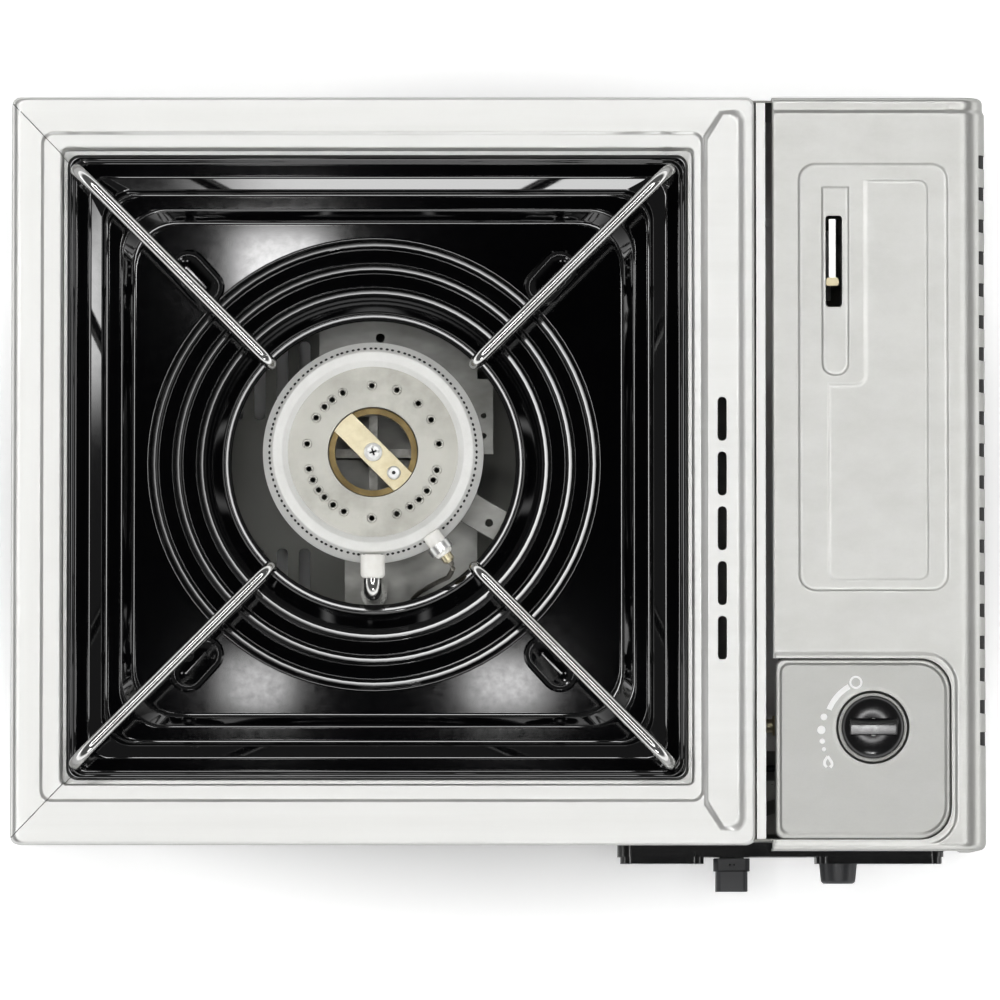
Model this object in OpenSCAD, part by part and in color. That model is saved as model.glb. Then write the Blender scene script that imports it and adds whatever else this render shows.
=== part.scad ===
// Portable butane cassette stove: a burner section with a drip pan on the left and a
// cartridge section with a hinged lid on the right. Millimetres, +Z up, origin on the
// table under the middle of the overall box, rear of the stove at +Y.

/* [Overall] */
// Depth of the stamped steel from the rear edge to the lid's front edge
body_d = 263; // [255:1:275]
// Height of the flat deck above the table
deck_z = 80; // [78:1:84]
// How far the lock lever stands out in front of the lid
lever_reach = 14; // [12:1:18]
// Thickness of the stamped sheet
sheet = 0.8; // [0.6:0.1:1.0]
// Gap left between pieces that move past each other
clearance = 0.4; // [0.3:0.05:0.5]

/* [Deck] */
// Width of the burner section
deck_w = 259.5; // [255:0.5:262]
// Gap between the burner section's deck and the lid
section_gap = 5.9; // [5.5:0.1:8]
// How much shorter the deck is than the lid at the front
deck_setback = 2; // [1:0.5:3]
// Width of the left bar of the deck
bar_left = 17.5; // [16:0.5:20]
// Width of the right bar of the deck
bar_right = 21.6; // [20:0.2:24]
// Width of the rear bar of the deck
bar_rear = 17.9; // [16:0.1:20]
// Width of the front bar of the deck
bar_front = 21; // [19:0.5:23]
// Width of the lowered band along the pan opening
band_w = 4.4; // [3:0.2:6]
// Depth of the lowered band below the deck
band_drop = 0.6; // [0.4:0.1:0.7]
// Height of the outside skirts
skirt_h = 18; // [12:1:22]
// Radius of the rounded outer edge of the left panel
side_r = 3; // [2:0.5:4]
// Width of the ledge that carries the drip pan
ledge_w = 6; // [4:0.5:7]
// Depth of that ledge below the deck
ledge_drop = 10; // [8:0.5:12]
// Number of vent slots in the right bar
vent_count = 5; // [3:1:5]
// Length of one vent slot
vent_len = 15.4; // [12:0.2:17]
// Width of one vent slot
vent_w = 3.2; // [2:0.2:4]
// Spacing of the vent slots
vent_pitch = 19.1; // [18:0.1:20]
// Height of the raised strip that carries the vent slots
strip_rise = 1.0; // [0.6:0.1:1.4]
// Width of the raised strip
strip_w = 9.6; // [8:0.1:10]

/* [Tray] */
// Height of the rubber feet
foot_h = 6; // [5:0.5:8]
// Radius of a rubber foot
foot_r = 8; // [6:0.5:10]
// Distance of the feet from the tray's edges
foot_inset = 22; // [18:1:30]
// Distance of the tray's front and rear walls inside the skirts
wall_gap = 0.4; // [0.3:0.1:0.8]
// Radius of the tray's upright corners
tray_r = 4; // [3:0.5:6]
// Height of the tray's low wall on the cartridge side
low_wall_h = 16; // [12:1:20]
// Distance of the low wall from the stove's right side
low_wall_inset = 7; // [6.5:0.5:8]

/* [Drip pan] */
// Gap between the drip pan and its opening
pan_gap = 0.8; // [0.5:0.1:1.2]
// Width of the pan's flat rim
rim_w = 9; // [8:0.5:10]
// Width of the pan's first sloping wall
wall_run = 4; // [3:0.5:6]
// Depth of the pan's upper step below its rim
step_drop = 7; // [5:0.5:9]
// Width of the pan's upper step
step_w = 12; // [10:0.5:13]
// Width of the pan's second slope
slope_run = 3; // [2:0.5:4]
// Depth of the pan's floor below the upper step
floor_drop = 4; // [3:0.5:5]
// Radius of the round well's outer ring
ring_r = 77.7; // [74:0.1:80]
// Radial pitch of the concentric rings
ring_pitch = 8.4; // [7:0.1:9]
// Height of the concentric rings
ring_h = 2.4; // [1.5:0.1:3]
// Gap between the igniter's tube and the edge of the pan's hole
hole_gap = 1; // [0.6:0.1:2.5]
// Height of the raised lip round the hole, above the pan's floor
lip_h = 9; // [7:0.5:10]
// Distance of the well's middle left of the opening's middle
pan_shift_x = -1.4; // [-2:0.1:0]
// Distance of the well's middle behind the opening's middle
pan_shift_y = 1.5; // [0:0.1:2]
// Length of a raised pad under a support
pad_l = 20; // [16:1:24]
// Width of a raised pad under a support
pad_w = 12; // [10:1:14]

/* [Pan supports] */
// Diameter of the support wire
wire_d = 4.2; // [3.5:0.1:5]
// Height of the supports' top above the deck
support_rise = 20; // [16:1:24]
// Distance of the supports' inner ends from the middle
support_in = 48; // [47:0.5:56]
// Distance of the supports' outer ends from the middle
support_out = 146; // [140:1:147]
// Drop from the top run to the lower run
support_drop = 13; // [11:0.5:15]
// Distance of the pads from the middle
pad_dist = 92; // [88:1:96]
// Bend radius of the wire
wire_bend = 5; // [4:0.5:6]
// Distance of the supports' middle in front of the well's middle
support_shift_y = 2.2; // [1:0.1:3]

/* [Burner] */
// Distance of the burner's middle behind the pan's middle
burner_shift_y = 3; // [1:0.5:4]
// Outer radius of the burner ring
burner_r = 38.5; // [37:0.5:40]
// Height of the burner's top above the deck
burner_rise = 6; // [4:0.5:8]
// Inner radius of the raised ring
ring_in_r = 31.2; // [30:0.1:32]
// Outer radius of the raised ring
ring_out_r = 34.3; // [33:0.1:35]
// Radius of the cap plate's middle hole
cap_hole_r = 15.75; // [15:0.05:17]
// Radius of the circle of top ports
port_circle_r = 23.1; // [21:0.1:25]
// Radius of a top port
port_r = 0.9; // [0.6:0.1:1.1]
// Depth of the gas chamber under the ring
chamber_h = 16; // [14:1:20]
// Radius of the mixing tube
tube_r = 8.4; // [7:0.1:8.6]
// Wall of the mixing tube
tube_wall = 1.2; // [1:0.1:1.5]
// Height of the mixing tube's axis above the table
tube_z = 34; // [30:1:35]
// Radius of the mixing tube's flat bend
tube_bend = 30; // [26:1:34]
// Radius of the mixing tube's upward bend
tube_rise_bend = 12; // [11:0.5:13]
// Height of the burner bridge above the table
bridge_z = 44; // [43.5:0.5:46]

/* [Ignition] */
// Radius of the igniter's ceramic
ceramic_r = 4.25; // [3.5:0.05:4.5]
// Length of the igniter's ceramic
ceramic_l = 8.2; // [7:0.1:10]
// Radius of the igniter's steel tube
igniter_tube_r = 3.1; // [2.5:0.1:3.4]
// Radius of the flame sensor's ceramic
sensor_r = 3.2; // [2.8:0.1:3.6]
// Length of the flame sensor's ceramic
sensor_l = 9; // [8:0.5:11]
// Direction of the flame sensor, seen from above
sensor_az = -55; // [-60:1:-50]
// Radius of the igniter's lead
lead_r = 1.2; // [0.9:0.1:1.4]

/* [Cartridge bay] */
// Radius of the gas cartridge that the bay takes
cartridge_r = 34; // [33:0.5:34]
// Height of the cartridge's axis above the table
cartridge_z = 44; // [43.5:0.5:44.5]
// Distance of the cartridge's axis from the stove's right side
cartridge_inset = 41; // [40:0.5:43]
// Distance of the control panel's rear edge behind the lid's front edge
panel_d = 66.6; // [64:0.1:70]
// Distance of the gas jet behind the lid's front edge
jet_inset = 44.5; // [43:0.5:46]
// Radius of the control panel's right corners
panel_r = 11; // [8:0.5:12]
// Radius of the regulator's round body
regulator_r = 19; // [17:0.5:19]
// Length of the regulator's round body
regulator_l = 24; // [22:1:26]
// Radius of the regulator's gas inlet
inlet_r = 5.6; // [5:0.1:6]
// Depth of the gas inlet
inlet_depth = 6; // [5:0.5:7]
// Width of the carriage strip
carriage_w = 14; // [12:1:16]

/* [Lid] */
// Width of the lid
lid_w = 74.6; // [73:0.2:76]
// Radius of the lid's long shoulder
shoulder_r = 9; // [7:0.5:10]
// Height of the lid's hinge axis above the table
hinge_z = 11; // [10.8:0.1:11.4]
// Distance of the hinge axis from the stove's right side
hinge_inset = 4; // [3.8:0.1:4.2]
// Radius of a hinge pin
hinge_pin_r = 1.5; // [1.2:0.1:1.6]
// Radius of a hinge knuckle
knuckle_r = 2.9; // [2.6:0.1:3]
// Length of one hinge knuckle
knuckle_l = 12; // [8:1:16]
// Running clearance of the hinge pins
pin_fit = 0.05; // [0.03:0.01:0.08]
// Number of vent slots in the lid's side
side_vent_count = 19; // [10:1:20]
// Spacing of the side vents
side_vent_pitch = 11.2; // [10:0.1:12]
// Width of one side vent
side_vent_w = 5; // [3:0.5:6]
// Height of one side vent
side_vent_h = 30; // [20:1:40]
// Depth of the lid's embossed fields
emboss = 0.5; // [0.3:0.1:0.6]
// Length of the window slot in the lid
window_l = 32; // [26:1:36]
// Width of the window slot in the lid
window_w = 5.7; // [4:0.1:7]

/* [Controls] */
// Radius of the gas knob
knob_r = 11; // [10:0.5:11.5]
// Height of the gas knob above the deck
knob_h = 9; // [7:0.5:12]
// Radius of the round well that holds the knob
well_r = 12.4; // [12:0.1:13]
// Depth of that well below the deck
well_drop = 1.4; // [1:0.1:1.6]
// Radius of the valve spindle
spindle_r = 3; // [2.5:0.1:3.5]
// Width of the front bezel
bezel_w = 114.8; // [110:0.2:118]
// Height of the front bezel
bezel_h = 30; // [28:1:32]
// Height of the bezel's lower edge above the table
bezel_z = 14; // [12:1:16]
// Thickness of the bezel's plate
bezel_t = 5; // [4:0.5:6]
// How far the bezel's lips stand out of its plate
lip_t = 2.4; // [1.5:0.1:3]
// Width of the bezel's left lip
left_lip_w = 29.3; // [28:0.1:31]
// Width of the lock lever
lever_w = 12.6; // [11:0.2:14]
// Sideways travel of the lock lever
lever_travel = 20; // [18:1:20]
// Forward travel of the carriage
carriage_travel = 6; // [5:0.5:6.5]
// Radius of the cam pin
cam_pin_r = 2; // [1.6:0.1:2.2]
// Radius of the igniter button at the bezel
button_r = 6.7; // [6:0.1:7]
// Radius of the igniter button's front end
button_tip_r = 6.1; // [5:0.1:6.2]
// How far the igniter button stands out of the bezel's lips
button_reach = 7; // [6:0.5:8]
// Travel of the igniter button
button_travel = 5; // [4:0.5:5.5]

/* [Hidden] */
$fn = 48;

STEEL = "gainsboro";
DARK_STEEL = "dimgray";
ENAMEL = "#141414";
BLACK = "#202020";
BRASS = "#b8a060";
ALLOY = "silver";

// Outer faces
body_w = deck_w + section_gap + lid_w;
left_x = -body_w / 2;
right_x = body_w / 2;
rear_y = (body_d + lever_reach) / 2;
lid_front_y = rear_y - body_d;
deck_front_y = lid_front_y + deck_setback;
deck_right_x = left_x + deck_w;
lid_left_x = right_x - lid_w;
deck_low = deck_z - sheet;
floor_z = foot_h + sheet;

// Pan opening
open_x0 = left_x + bar_left;
open_x1 = deck_right_x - bar_right;
open_y0 = deck_front_y + bar_front;
open_y1 = rear_y - bar_rear;
ledge_z = deck_z - ledge_drop;

// Tray
tray_x0 = left_x + side_r;
tray_x1 = right_x - low_wall_inset;
tray_y0 = deck_front_y + sheet + wall_gap;
tray_y1 = rear_y - sheet - wall_gap;
tray_top = deck_low;

// Drip pan
pan_x0 = open_x0 + sheet + pan_gap;
pan_x1 = open_x1 - sheet - pan_gap;
pan_y0 = open_y0 + sheet + pan_gap;
pan_y1 = open_y1 - sheet - pan_gap;
pan_x = (open_x0 + open_x1) / 2 + pan_shift_x;
pan_y = (open_y0 + open_y1) / 2 + pan_shift_y;
pan_sheet = 1;
rim_low = ledge_z + 0.3;
rim_top = rim_low + pan_sheet;
step_top = rim_top - step_drop;
pan_floor = step_top - floor_drop;

// Supports
wire_r = wire_d / 2;
support_z = deck_z + support_rise - wire_r;
pad_h = 1.4;

// Burner
burner_x = pan_x;
burner_y = pan_y + burner_shift_y;
burner_top = deck_z + burner_rise;
ring_seat = burner_top - 12;
cap_t = 1.2;
cap_low = burner_top - 3;
chamber_z = ring_seat - chamber_h;
chamber_r = burner_r - 2.5;
chamber_wall = 2.4;
core_r = 18;
core_hole_r = cap_hole_r - 0.15;
inner_ring_h = 5.6;
inner_ring_z = cap_low - 7;
inner_ring_r = core_hole_r - 0.2;
strap_t = 1.2;
strap_w = 8.8;
strap_z = inner_ring_z + inner_ring_h;
strap_screw_r = 1.9;
rivet_off = 10.2;
riser_r = (chamber_r - chamber_wall + core_r) / 2;
riser_y = burner_y - riser_r;
bridge_t = 1.2;
bridge_left = 19.5;
bridge_right = 36.2;
bridge_front = 64;
bridge_rear = 50;
bridge_x0 = burner_x - bridge_left;
bridge_x1 = burner_x + bridge_right;
bridge_y0 = burner_y - bridge_front;
bridge_y1 = burner_y + bridge_rear;
bridge_top = bridge_z + bridge_t;
column_places = [for (a = [60, 120, 240, 300]) [burner_x + riser_r * cos(a), burner_y + riser_r * sin(a)]];
// Directions of the top ports, in uneven groups round the cap
port_angles = [7, 29, 47, 69, 91, 117, 128, 137, 149, 173, 195, 205, 215, 223, 233, 244,
    269, 291, 304, 314, 324, 335, 344];

// Partition between the two sections
partition_x = deck_right_x + 2.2;
partition_top = deck_low - clearance;
jet_y = lid_front_y + jet_inset;
jet_x = partition_x + 7.4;

// Cartridge, regulator and knob
bay_x = right_x - cartridge_inset;
panel_y0 = tray_y0 + sheet;
panel_y1 = lid_front_y + panel_d;
panel_x1 = right_x - shoulder_r - 3.6;
panel_x0 = lid_left_x + 1;
knob_x = bay_x + 1.2;
knob_y = jet_y - 1.7;
well_top = deck_z - well_drop;
spindle_hole_r = spindle_r + pin_fit;
inlet_y = panel_y1 - 0.8;
inlet_boss_l = 8;
regulator_y1 = inlet_y - inlet_boss_l;
regulator_y0 = regulator_y1 - regulator_l;
chest_r = 9;
chest_top = deck_z - 13;
bracket_t = 1.2;

// Front controls
bezel_inset = 128;
bezel_corner = 5;
lip_inset = 2;
bezel_x0 = right_x - bezel_inset;
bezel_x1 = bezel_x0 + bezel_w;
bezel_y = tray_y0 - bezel_t;
bezel_lip_y = bezel_y - lip_t;
bezel_mid_z = bezel_z + bezel_h / 2;
bezel_screw_r = 1.5;
bezel_screw_places = [[bezel_x0 + 16, bezel_mid_z], [bezel_x1 - 8, bezel_mid_z]];
slot_x0 = bezel_x0 + left_lip_w + 2;
slot_x1 = slot_x0 + lever_w + lever_travel + 4;
lever_x0 = slot_x0 + 2.8;
lever_tip_y = lid_front_y - lever_reach;
lever_z = bezel_mid_z - 4;
stem_h = 8;
lever_root_t = 5;
lever_root_h = 16;
paddle_low = 11;
paddle_high = 10;
cam_t = 1.2;
cam_z = lever_z - stem_h / 2 - cam_t;
cam_y0 = tray_y0 + sheet + 2.4;
cam_y1 = cam_y0 + 19;
cam_slot_x = slot_x1 - 5;
cam_slot_y = cam_y0 + 12;
strip_z = floor_z + 0.4;
strip_t = 1.2;
strip_top = strip_z + strip_t;
carriage_y0 = cam_slot_y - 5;
carriage_y1 = rear_y - 7;
button_x = bay_x - 9;
button_z = bezel_mid_z;
button_tip_y = bezel_lip_y - button_reach;
button_back_y = bezel_y - 0.2;
plunger_r = 3;
piezo_r = 5.5;
piezo_y0 = tray_y0 + sheet + 3.2;
piezo_l = 21;
piezo_y1 = piezo_y0 + piezo_l;

// Carriage spring
spring_r = 2.5;
spring_wire = 0.4;
spring_x = bay_x + carriage_w / 2 + 5;
spring_ear = 98.5;
spring_y0 = rear_y - spring_ear;
spring_l = 34;
spring_z = strip_top + spring_r + spring_wire + 0.4;

// Lid hinge
hinge_x = right_x - hinge_inset;
lid_wall_z = hinge_z - 1;
hinge_places = [lid_front_y + 40, rear_y - 40];

// Igniter and flame sensor
igniter_off = 1.7;
igniter_y = burner_y - ring_out_r - igniter_off;
igniter_z = burner_top + 1.6;
igniter_drop_y = igniter_y - ceramic_l - igniter_tube_r - 1.3;
hole_r = pan_y - igniter_drop_y + igniter_tube_r + hole_gap;
igniter_low = bridge_top + 7;
sensor_z = burner_top + 1.5;
sensor_off = 0.7;
sensor_in = ring_out_r + sensor_off;
sensor_tip_l = 3;
sensor_post = sensor_in + sensor_l - 3;

// Hand-chosen points of the two leads
igniter_route = [
    [button_x, piezo_y1, button_z], [button_x, piezo_y1 + 1.2, button_z],
    [button_x - 0.4, piezo_y1 + 2.2, button_z - 1.2], [button_x - 1, piezo_y1 + 2.4, button_z - 6],
    [button_x - 4, piezo_y1 + 2.4, 17], [button_x - 10, piezo_y1 + 2.4, 14],
    [partition_x, piezo_y1 + 1.5, 13], [60, -98, 12], [20, -97, 12], [-20, -94, 12], [-46, -80, 12],
    [-57, -66, 15], [-57.5, -59, 24], [-57, -56, 36], [-54, -54, 45], [-49, -49, bridge_top + 3.6],
    [-45.5, -41, bridge_top + 3], [burner_x - 0.4, igniter_drop_y - 2.6, bridge_top + 3.2],
    [burner_x, igniter_drop_y - 0.4, bridge_top + 4.6], [burner_x, igniter_drop_y, igniter_low]
];
sensor_end = sensor_in + sensor_l + sensor_tip_l;
sensor_way = [cos(sensor_az), sin(sensor_az), 0];
sensor_out = [burner_x, burner_y, sensor_z] + sensor_end * sensor_way;
sensor_route = [
    sensor_out, sensor_out + sensor_way, sensor_out + [0.9, -2.2, -1.6], [-17.5, -29.5, 80],
    [-20.5, -30.5, 74], [-24, -32, 66], [-28, -34, 57], [-30, -35.5, 50], [-30.2, -36, bridge_top]
];

// ---- Shapes that repeat ----

// Outline of a rectangle with rounded corners
function rounded(x0, x1, y0, y1, r, steps = 6) = [
    for (c = [[x1 - r, y1 - r, 0], [x0 + r, y1 - r, 90], [x0 + r, y0 + r, 180], [x1 - r, y0 + r, 270]])
        for (i = [0 : steps]) [c[0] + r * cos(c[2] + 90 * i / steps), c[1] + r * sin(c[2] + 90 * i / steps)]
];

// Outline of a rectangle whose left and right corners have radii of their own
function right_rounded(x0, x1, y0, y1, left_r, right_r, steps = 8) = [
    for (c = [[x1 - right_r, y1 - right_r, 0, right_r], [x0 + left_r, y1 - left_r, 90, left_r],
            [x0 + left_r, y0 + left_r, 180, left_r], [x1 - right_r, y0 + right_r, 270, right_r]])
        for (i = [0 : steps])
            [c[0] + c[3] * cos(c[2] + 90 * i / steps), c[1] + c[3] * sin(c[2] + 90 * i / steps)]
];

module slab(x0, x1, y0, y1, z0, z1) {
    translate([x0, y0, z0]) cube([x1 - x0, y1 - y0, z1 - z0]);
}

module plate(x0, x1, y0, y1, z0, z1, r) {
    translate([0, 0, z0]) linear_extrude(z1 - z0) polygon(rounded(x0, x1, y0, y1, r));
}

module rod(p, r, l, turn = [0, 0, 0]) {
    translate(p) rotate(turn) cylinder(r = r, h = l);
}

module pipe(r_out, r_in, z0, z1) {
    rotate_extrude() translate([r_in, z0]) square([r_out - r_in, z1 - z0]);
}

// A screw that points down from the underside of its head at z = 0
module pan_screw(shank_r, shank_l, head_r, head_h) {
    rotate_extrude() polygon([
        [0, -shank_l], [shank_r, -shank_l], [shank_r, 0], [head_r, 0],
        [head_r, head_h * 0.6], [head_r * 0.7, head_h], [0, head_h]
    ]);
}

// Wire along points in the X-Z plane, with round bends that meet its straights end to end
function unit(v) = v / norm(v);
function turn_of(p, i) = let (a = unit(p[i] - p[i - 1]), b = unit(p[i + 1] - p[i]))
    atan2(a[0] * b[1] - a[1] * b[0], a[0] * b[0] + a[1] * b[1]);
function bend_of(bend, i) = is_list(bend) ? bend[i] : bend;
function trim_of(p, i, bend) = (i == 0 || i == len(p) - 1) ? 0 : bend_of(bend, i) * tan(abs(turn_of(p, i)) / 2);

module wire(p, r, bend) {
    for (i = [0 : len(p) - 2]) {
        a = p[i] + unit(p[i + 1] - p[i]) * trim_of(p, i, bend);
        b = p[i + 1] - unit(p[i + 1] - p[i]) * trim_of(p, i + 1, bend);
        translate([a[0], 0, a[1]])
            rotate([0, 90 - atan2(b[1] - a[1], b[0] - a[0]), 0]) cylinder(r = r, h = norm(b - a));
    }
    for (i = [1 : len(p) - 2]) {
        way = unit(p[i] - p[i - 1]);
        side = turn_of(p, i) > 0 ? 1 : -1;
        start = p[i] - way * trim_of(p, i, bend);
        radius = bend_of(bend, i);
        hub = start + side * radius * [-way[1], way[0]];
        from = atan2(start[1] - hub[1], start[0] - hub[0]);
        translate([hub[0], 0, hub[1]]) rotate([90, 0, 0])
            rotate([0, 0, side > 0 ? from : from - abs(turn_of(p, i))])
                rotate_extrude(angle = abs(turn_of(p, i))) translate([radius, 0]) circle(r);
    }
}

// Tube swept along points, closed at both ends
function way_at(p, i) = unit(p[min(i + 1, len(p) - 1)] - p[max(i - 1, 0)]);
function side_at(p, i) = let (w = way_at(p, i)) unit(cross(w, abs(w[2]) > 0.8 ? [0, 1, 0.2] : [0, 0.2, 1]));

module swept(p, r, sides = 8) {
    rings = [for (i = [0 : len(p) - 1]) let (w = way_at(p, i), u = side_at(p, i), v = cross(w, u))
        for (k = [0 : sides - 1]) p[i] + r * (cos(360 * k / sides) * u + sin(360 * k / sides) * v)];
    last = (len(p) - 1) * sides;
    faces = concat(
        [[for (k = [0 : sides - 1]) k]],
        [for (i = [0 : len(p) - 2]) for (k = [0 : sides - 1])
            [i * sides + k, (i + 1) * sides + k, (i + 1) * sides + (k + 1) % sides,
             i * sides + (k + 1) % sides]],
        [[for (k = [sides - 1 : -1 : 0]) last + k]]
    );
    polyhedron(points = rings, faces = faces, convexity = 6);
}

// Coil spring along +Z from z = 0
module coil(r, wire_radius, length, turns, steps = 12) {
    swept([for (i = [0 : turns * steps]) [
        r * cos(360 * i / steps), r * sin(360 * i / steps),
        wire_radius + (length - 2 * wire_radius) * i / (turns * steps)
    ]], wire_radius, 6);
}

// ---- Tray and feet ----

foot_places = [for (x = [tray_x0 + foot_inset, tray_x1 - foot_inset])
    for (y = [tray_y0 + foot_inset, tray_y1 - foot_inset]) [x, y]];
foot_screw_r = 1.5;
foot_recess = 3;
bridge_foot = 9;
// Screws that hold the bridge, the partition and the regulator bracket to the floor
flange_screw_places = [
    [bridge_x0 + 6, bridge_y1 + 5], [bridge_x1 - 6, bridge_y1 + 5],
    [bridge_x1 - 6, bridge_y0 - 5], [bridge_x1 - 34, bridge_y0 - 5],
    [partition_x + 4.5, panel_y1 + 18], [partition_x + 4.5, rear_y - 38],
    [bay_x - 10.5, regulator_y0 - bracket_t - 5]
];

module base_tray() {
    color(STEEL) difference() {
        plate(tray_x0, tray_x1, tray_y0, tray_y1, foot_h, tray_top, tray_r);
        plate(tray_x0 + sheet, tray_x1 - sheet, tray_y0 + sheet, tray_y1 - sheet,
            floor_z, tray_top + 1, tray_r - sheet);
        // the cartridge side is left low for the lid
        slab(tray_x1 - tray_r - 1, tray_x1 + 1, tray_y0 - 1, tray_y1 + 1,
            foot_h + low_wall_h, tray_top + 1);
        slab(partition_x + 2, tray_x1 + 1, tray_y0 - 1, tray_y1 + 1, tray_top - clearance, tray_top + 1);
        for (p = concat(foot_places, flange_screw_places))
            rod([p[0], p[1], foot_h - 1], foot_screw_r + 0.1, sheet + 2);
        // opening for the lever's stem
        slab(slot_x0 + 1, slot_x1 - 1, tray_y0 - 1, tray_y0 + sheet + 1,
            lever_z - stem_h / 2 - 1.4, lever_z + stem_h / 2 + 1);
        rod([button_x, tray_y0 + sheet + 1, button_z], plunger_r + clearance, sheet + 2, [90, 0, 0]);
        for (p = bezel_screw_places)
            rod([p[0], tray_y0 + sheet + 1, p[1]], bezel_screw_r + 0.05, sheet + 2, [90, 0, 0]);
        // air inlets in the floor beside the burner
        for (i = [-3 : 3], y = [bridge_y0 + 20, bridge_y1 - 20])
            translate([bridge_x0 - 30 + 8 * i, y, 0])
                plate(-2, 2, -14, 14, foot_h - 1, floor_z + 1, 1.9);
    }
}

module feet() {
    color(BLACK) for (p = foot_places) translate([p[0], p[1], 0]) rotate_extrude() polygon([
        [foot_screw_r + 0.1, foot_recess], [foot_r * 0.5, foot_recess], [foot_r * 0.5, 0],
        [foot_r - 0.8, 0], [foot_r, 0.8], [foot_r, foot_h], [foot_screw_r + 0.1, foot_h]
    ]);
}

module floor_screws() {
    color(ALLOY) {
        for (p = foot_places) translate([p[0], p[1], foot_recess]) rotate([180, 0, 0])
            pan_screw(foot_screw_r, foot_h - foot_recess + 5, 3.2, 1.8);
        for (p = flange_screw_places) translate([p[0], p[1], foot_h]) rotate([180, 0, 0])
            pan_screw(foot_screw_r, 5, 3.2, 1.8);
    }
}

// ---- Deck ----

// Plan outline of the left bar, between the two mitred joints
corner_cut = 2.8;
function left_outline(gap) = [
    [left_x - 1, deck_front_y + corner_cut + gap], [left_x + 1, deck_front_y + corner_cut + gap],
    [open_x0, open_y0 + gap], [open_x0 + ledge_w + 1, open_y0 + ledge_w + 1 + gap],
    [open_x0 + ledge_w + 1, open_y1 - ledge_w - 1 - gap], [open_x0, open_y1 - gap],
    [left_x + 1, rear_y - corner_cut - gap], [left_x - 1, rear_y - corner_cut - gap]
];

module deck_sheet() {
    difference() {
        plate(left_x, deck_right_x, deck_front_y, rear_y, deck_low, deck_z, 2.2);
        slab(open_x0 - band_w, open_x1 + band_w * 0.5, open_y0 - band_w, open_y1 + band_w,
            deck_low - 1, deck_z + 1);
    }
    // lowered band along the opening
    difference() {
        slab(open_x0 - band_w, open_x1 + band_w * 0.5, open_y0 - band_w, open_y1 + band_w,
            deck_low - band_drop, deck_z - band_drop);
        slab(open_x0, open_x1, open_y0, open_y1, deck_low - 2, deck_z);
    }
    // wall down to the ledge, and the ledge that carries the pan
    difference() {
        slab(open_x0, open_x1, open_y0, open_y1, ledge_z - sheet, deck_z - band_drop);
        slab(open_x0 + sheet, open_x1 - sheet, open_y0 + sheet, open_y1 - sheet,
            ledge_z, deck_z + 1);
        slab(open_x0 + ledge_w, open_x1 - ledge_w, open_y0 + ledge_w, open_y1 - ledge_w,
            ledge_z - 2, deck_z + 1);
    }
}

strip_in = 10;
strip_x = open_x1 + strip_in;
module vent_strip() {
    y0 = deck_front_y + 5;
    y1 = rear_y - 9;
    plate(strip_x - strip_w / 2, strip_x + strip_w / 2, y0, y1, deck_z - 0.2, deck_z + strip_rise, 2.5);
}

vent_first = 105;
vent_y = rear_y - vent_first;
module top_frame() {
    color(STEEL) difference() {
        union() {
            deck_sheet();
            // rear, front and right skirts
            difference() {
                plate(left_x, deck_right_x, deck_front_y, rear_y, deck_z - skirt_h, deck_low, 2.2);
                plate(left_x + sheet, deck_right_x - sheet, deck_front_y + sheet, rear_y - sheet,
                    deck_z - skirt_h - 1, deck_low + 1, 1.4);
            }
            vent_strip();
        }
        // the left bar is a piece of its own
        translate([0, 0, deck_z - skirt_h - 1]) linear_extrude(skirt_h + 3)
            polygon(left_outline(0));
        // notches in the right skirt for the tray's front and rear walls
        for (y = [tray_y0, tray_y1 - sheet])
            slab(deck_right_x - 3, deck_right_x + 1, y - wall_gap / 2, y + sheet + wall_gap / 2,
                deck_z - skirt_h - 1, deck_low);
        // room under the raised strip and its slots
        slab(strip_x - strip_w / 2 + sheet, strip_x + strip_w / 2 - sheet,
            deck_front_y + 6, rear_y - 10, deck_low - 1, deck_z + strip_rise - sheet);
        for (i = [0 : vent_count - 1]) translate([strip_x, vent_y - vent_len / 2 - i * vent_pitch, 0])
            plate(-vent_w / 2, vent_w / 2, -vent_len / 2, vent_len / 2, deck_low - 1,
                deck_z + strip_rise + 1, vent_w / 2 - 0.01);
    }
}

module left_side_panel() {
    color(STEEL) intersection() {
        union() {
            difference() {
                deck_sheet();
                slab(left_x - 1, left_x + side_r, deck_front_y - 1, rear_y + 1, deck_low - 1, deck_z + 1);
            }
            rounded_side(foot_h + 2);
        }
        linear_extrude(deck_z + 5) polygon(left_outline(clearance));
    }
}

// Outer wall of the left panel, with its rounded upper edge
module rounded_side(z0) {
    arc = [for (i = [0 : 6]) [left_x + side_r - side_r * cos(15 * i), deck_z - side_r + side_r * sin(15 * i)]];
    arc_in = [for (i = [6 : -1 : 0]) [
        left_x + side_r - (side_r - sheet) * cos(15 * i),
        deck_z - side_r + (side_r - sheet) * sin(15 * i)
    ]];
    lap = left_x + side_r + 1;
    translate([0, rear_y, 0]) rotate([90, 0, 0]) linear_extrude(rear_y - deck_front_y)
        polygon(concat([[left_x, z0]], arc, [[lap, deck_z], [lap, deck_low]], arc_in, [[left_x + sheet, z0]]));
}

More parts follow.
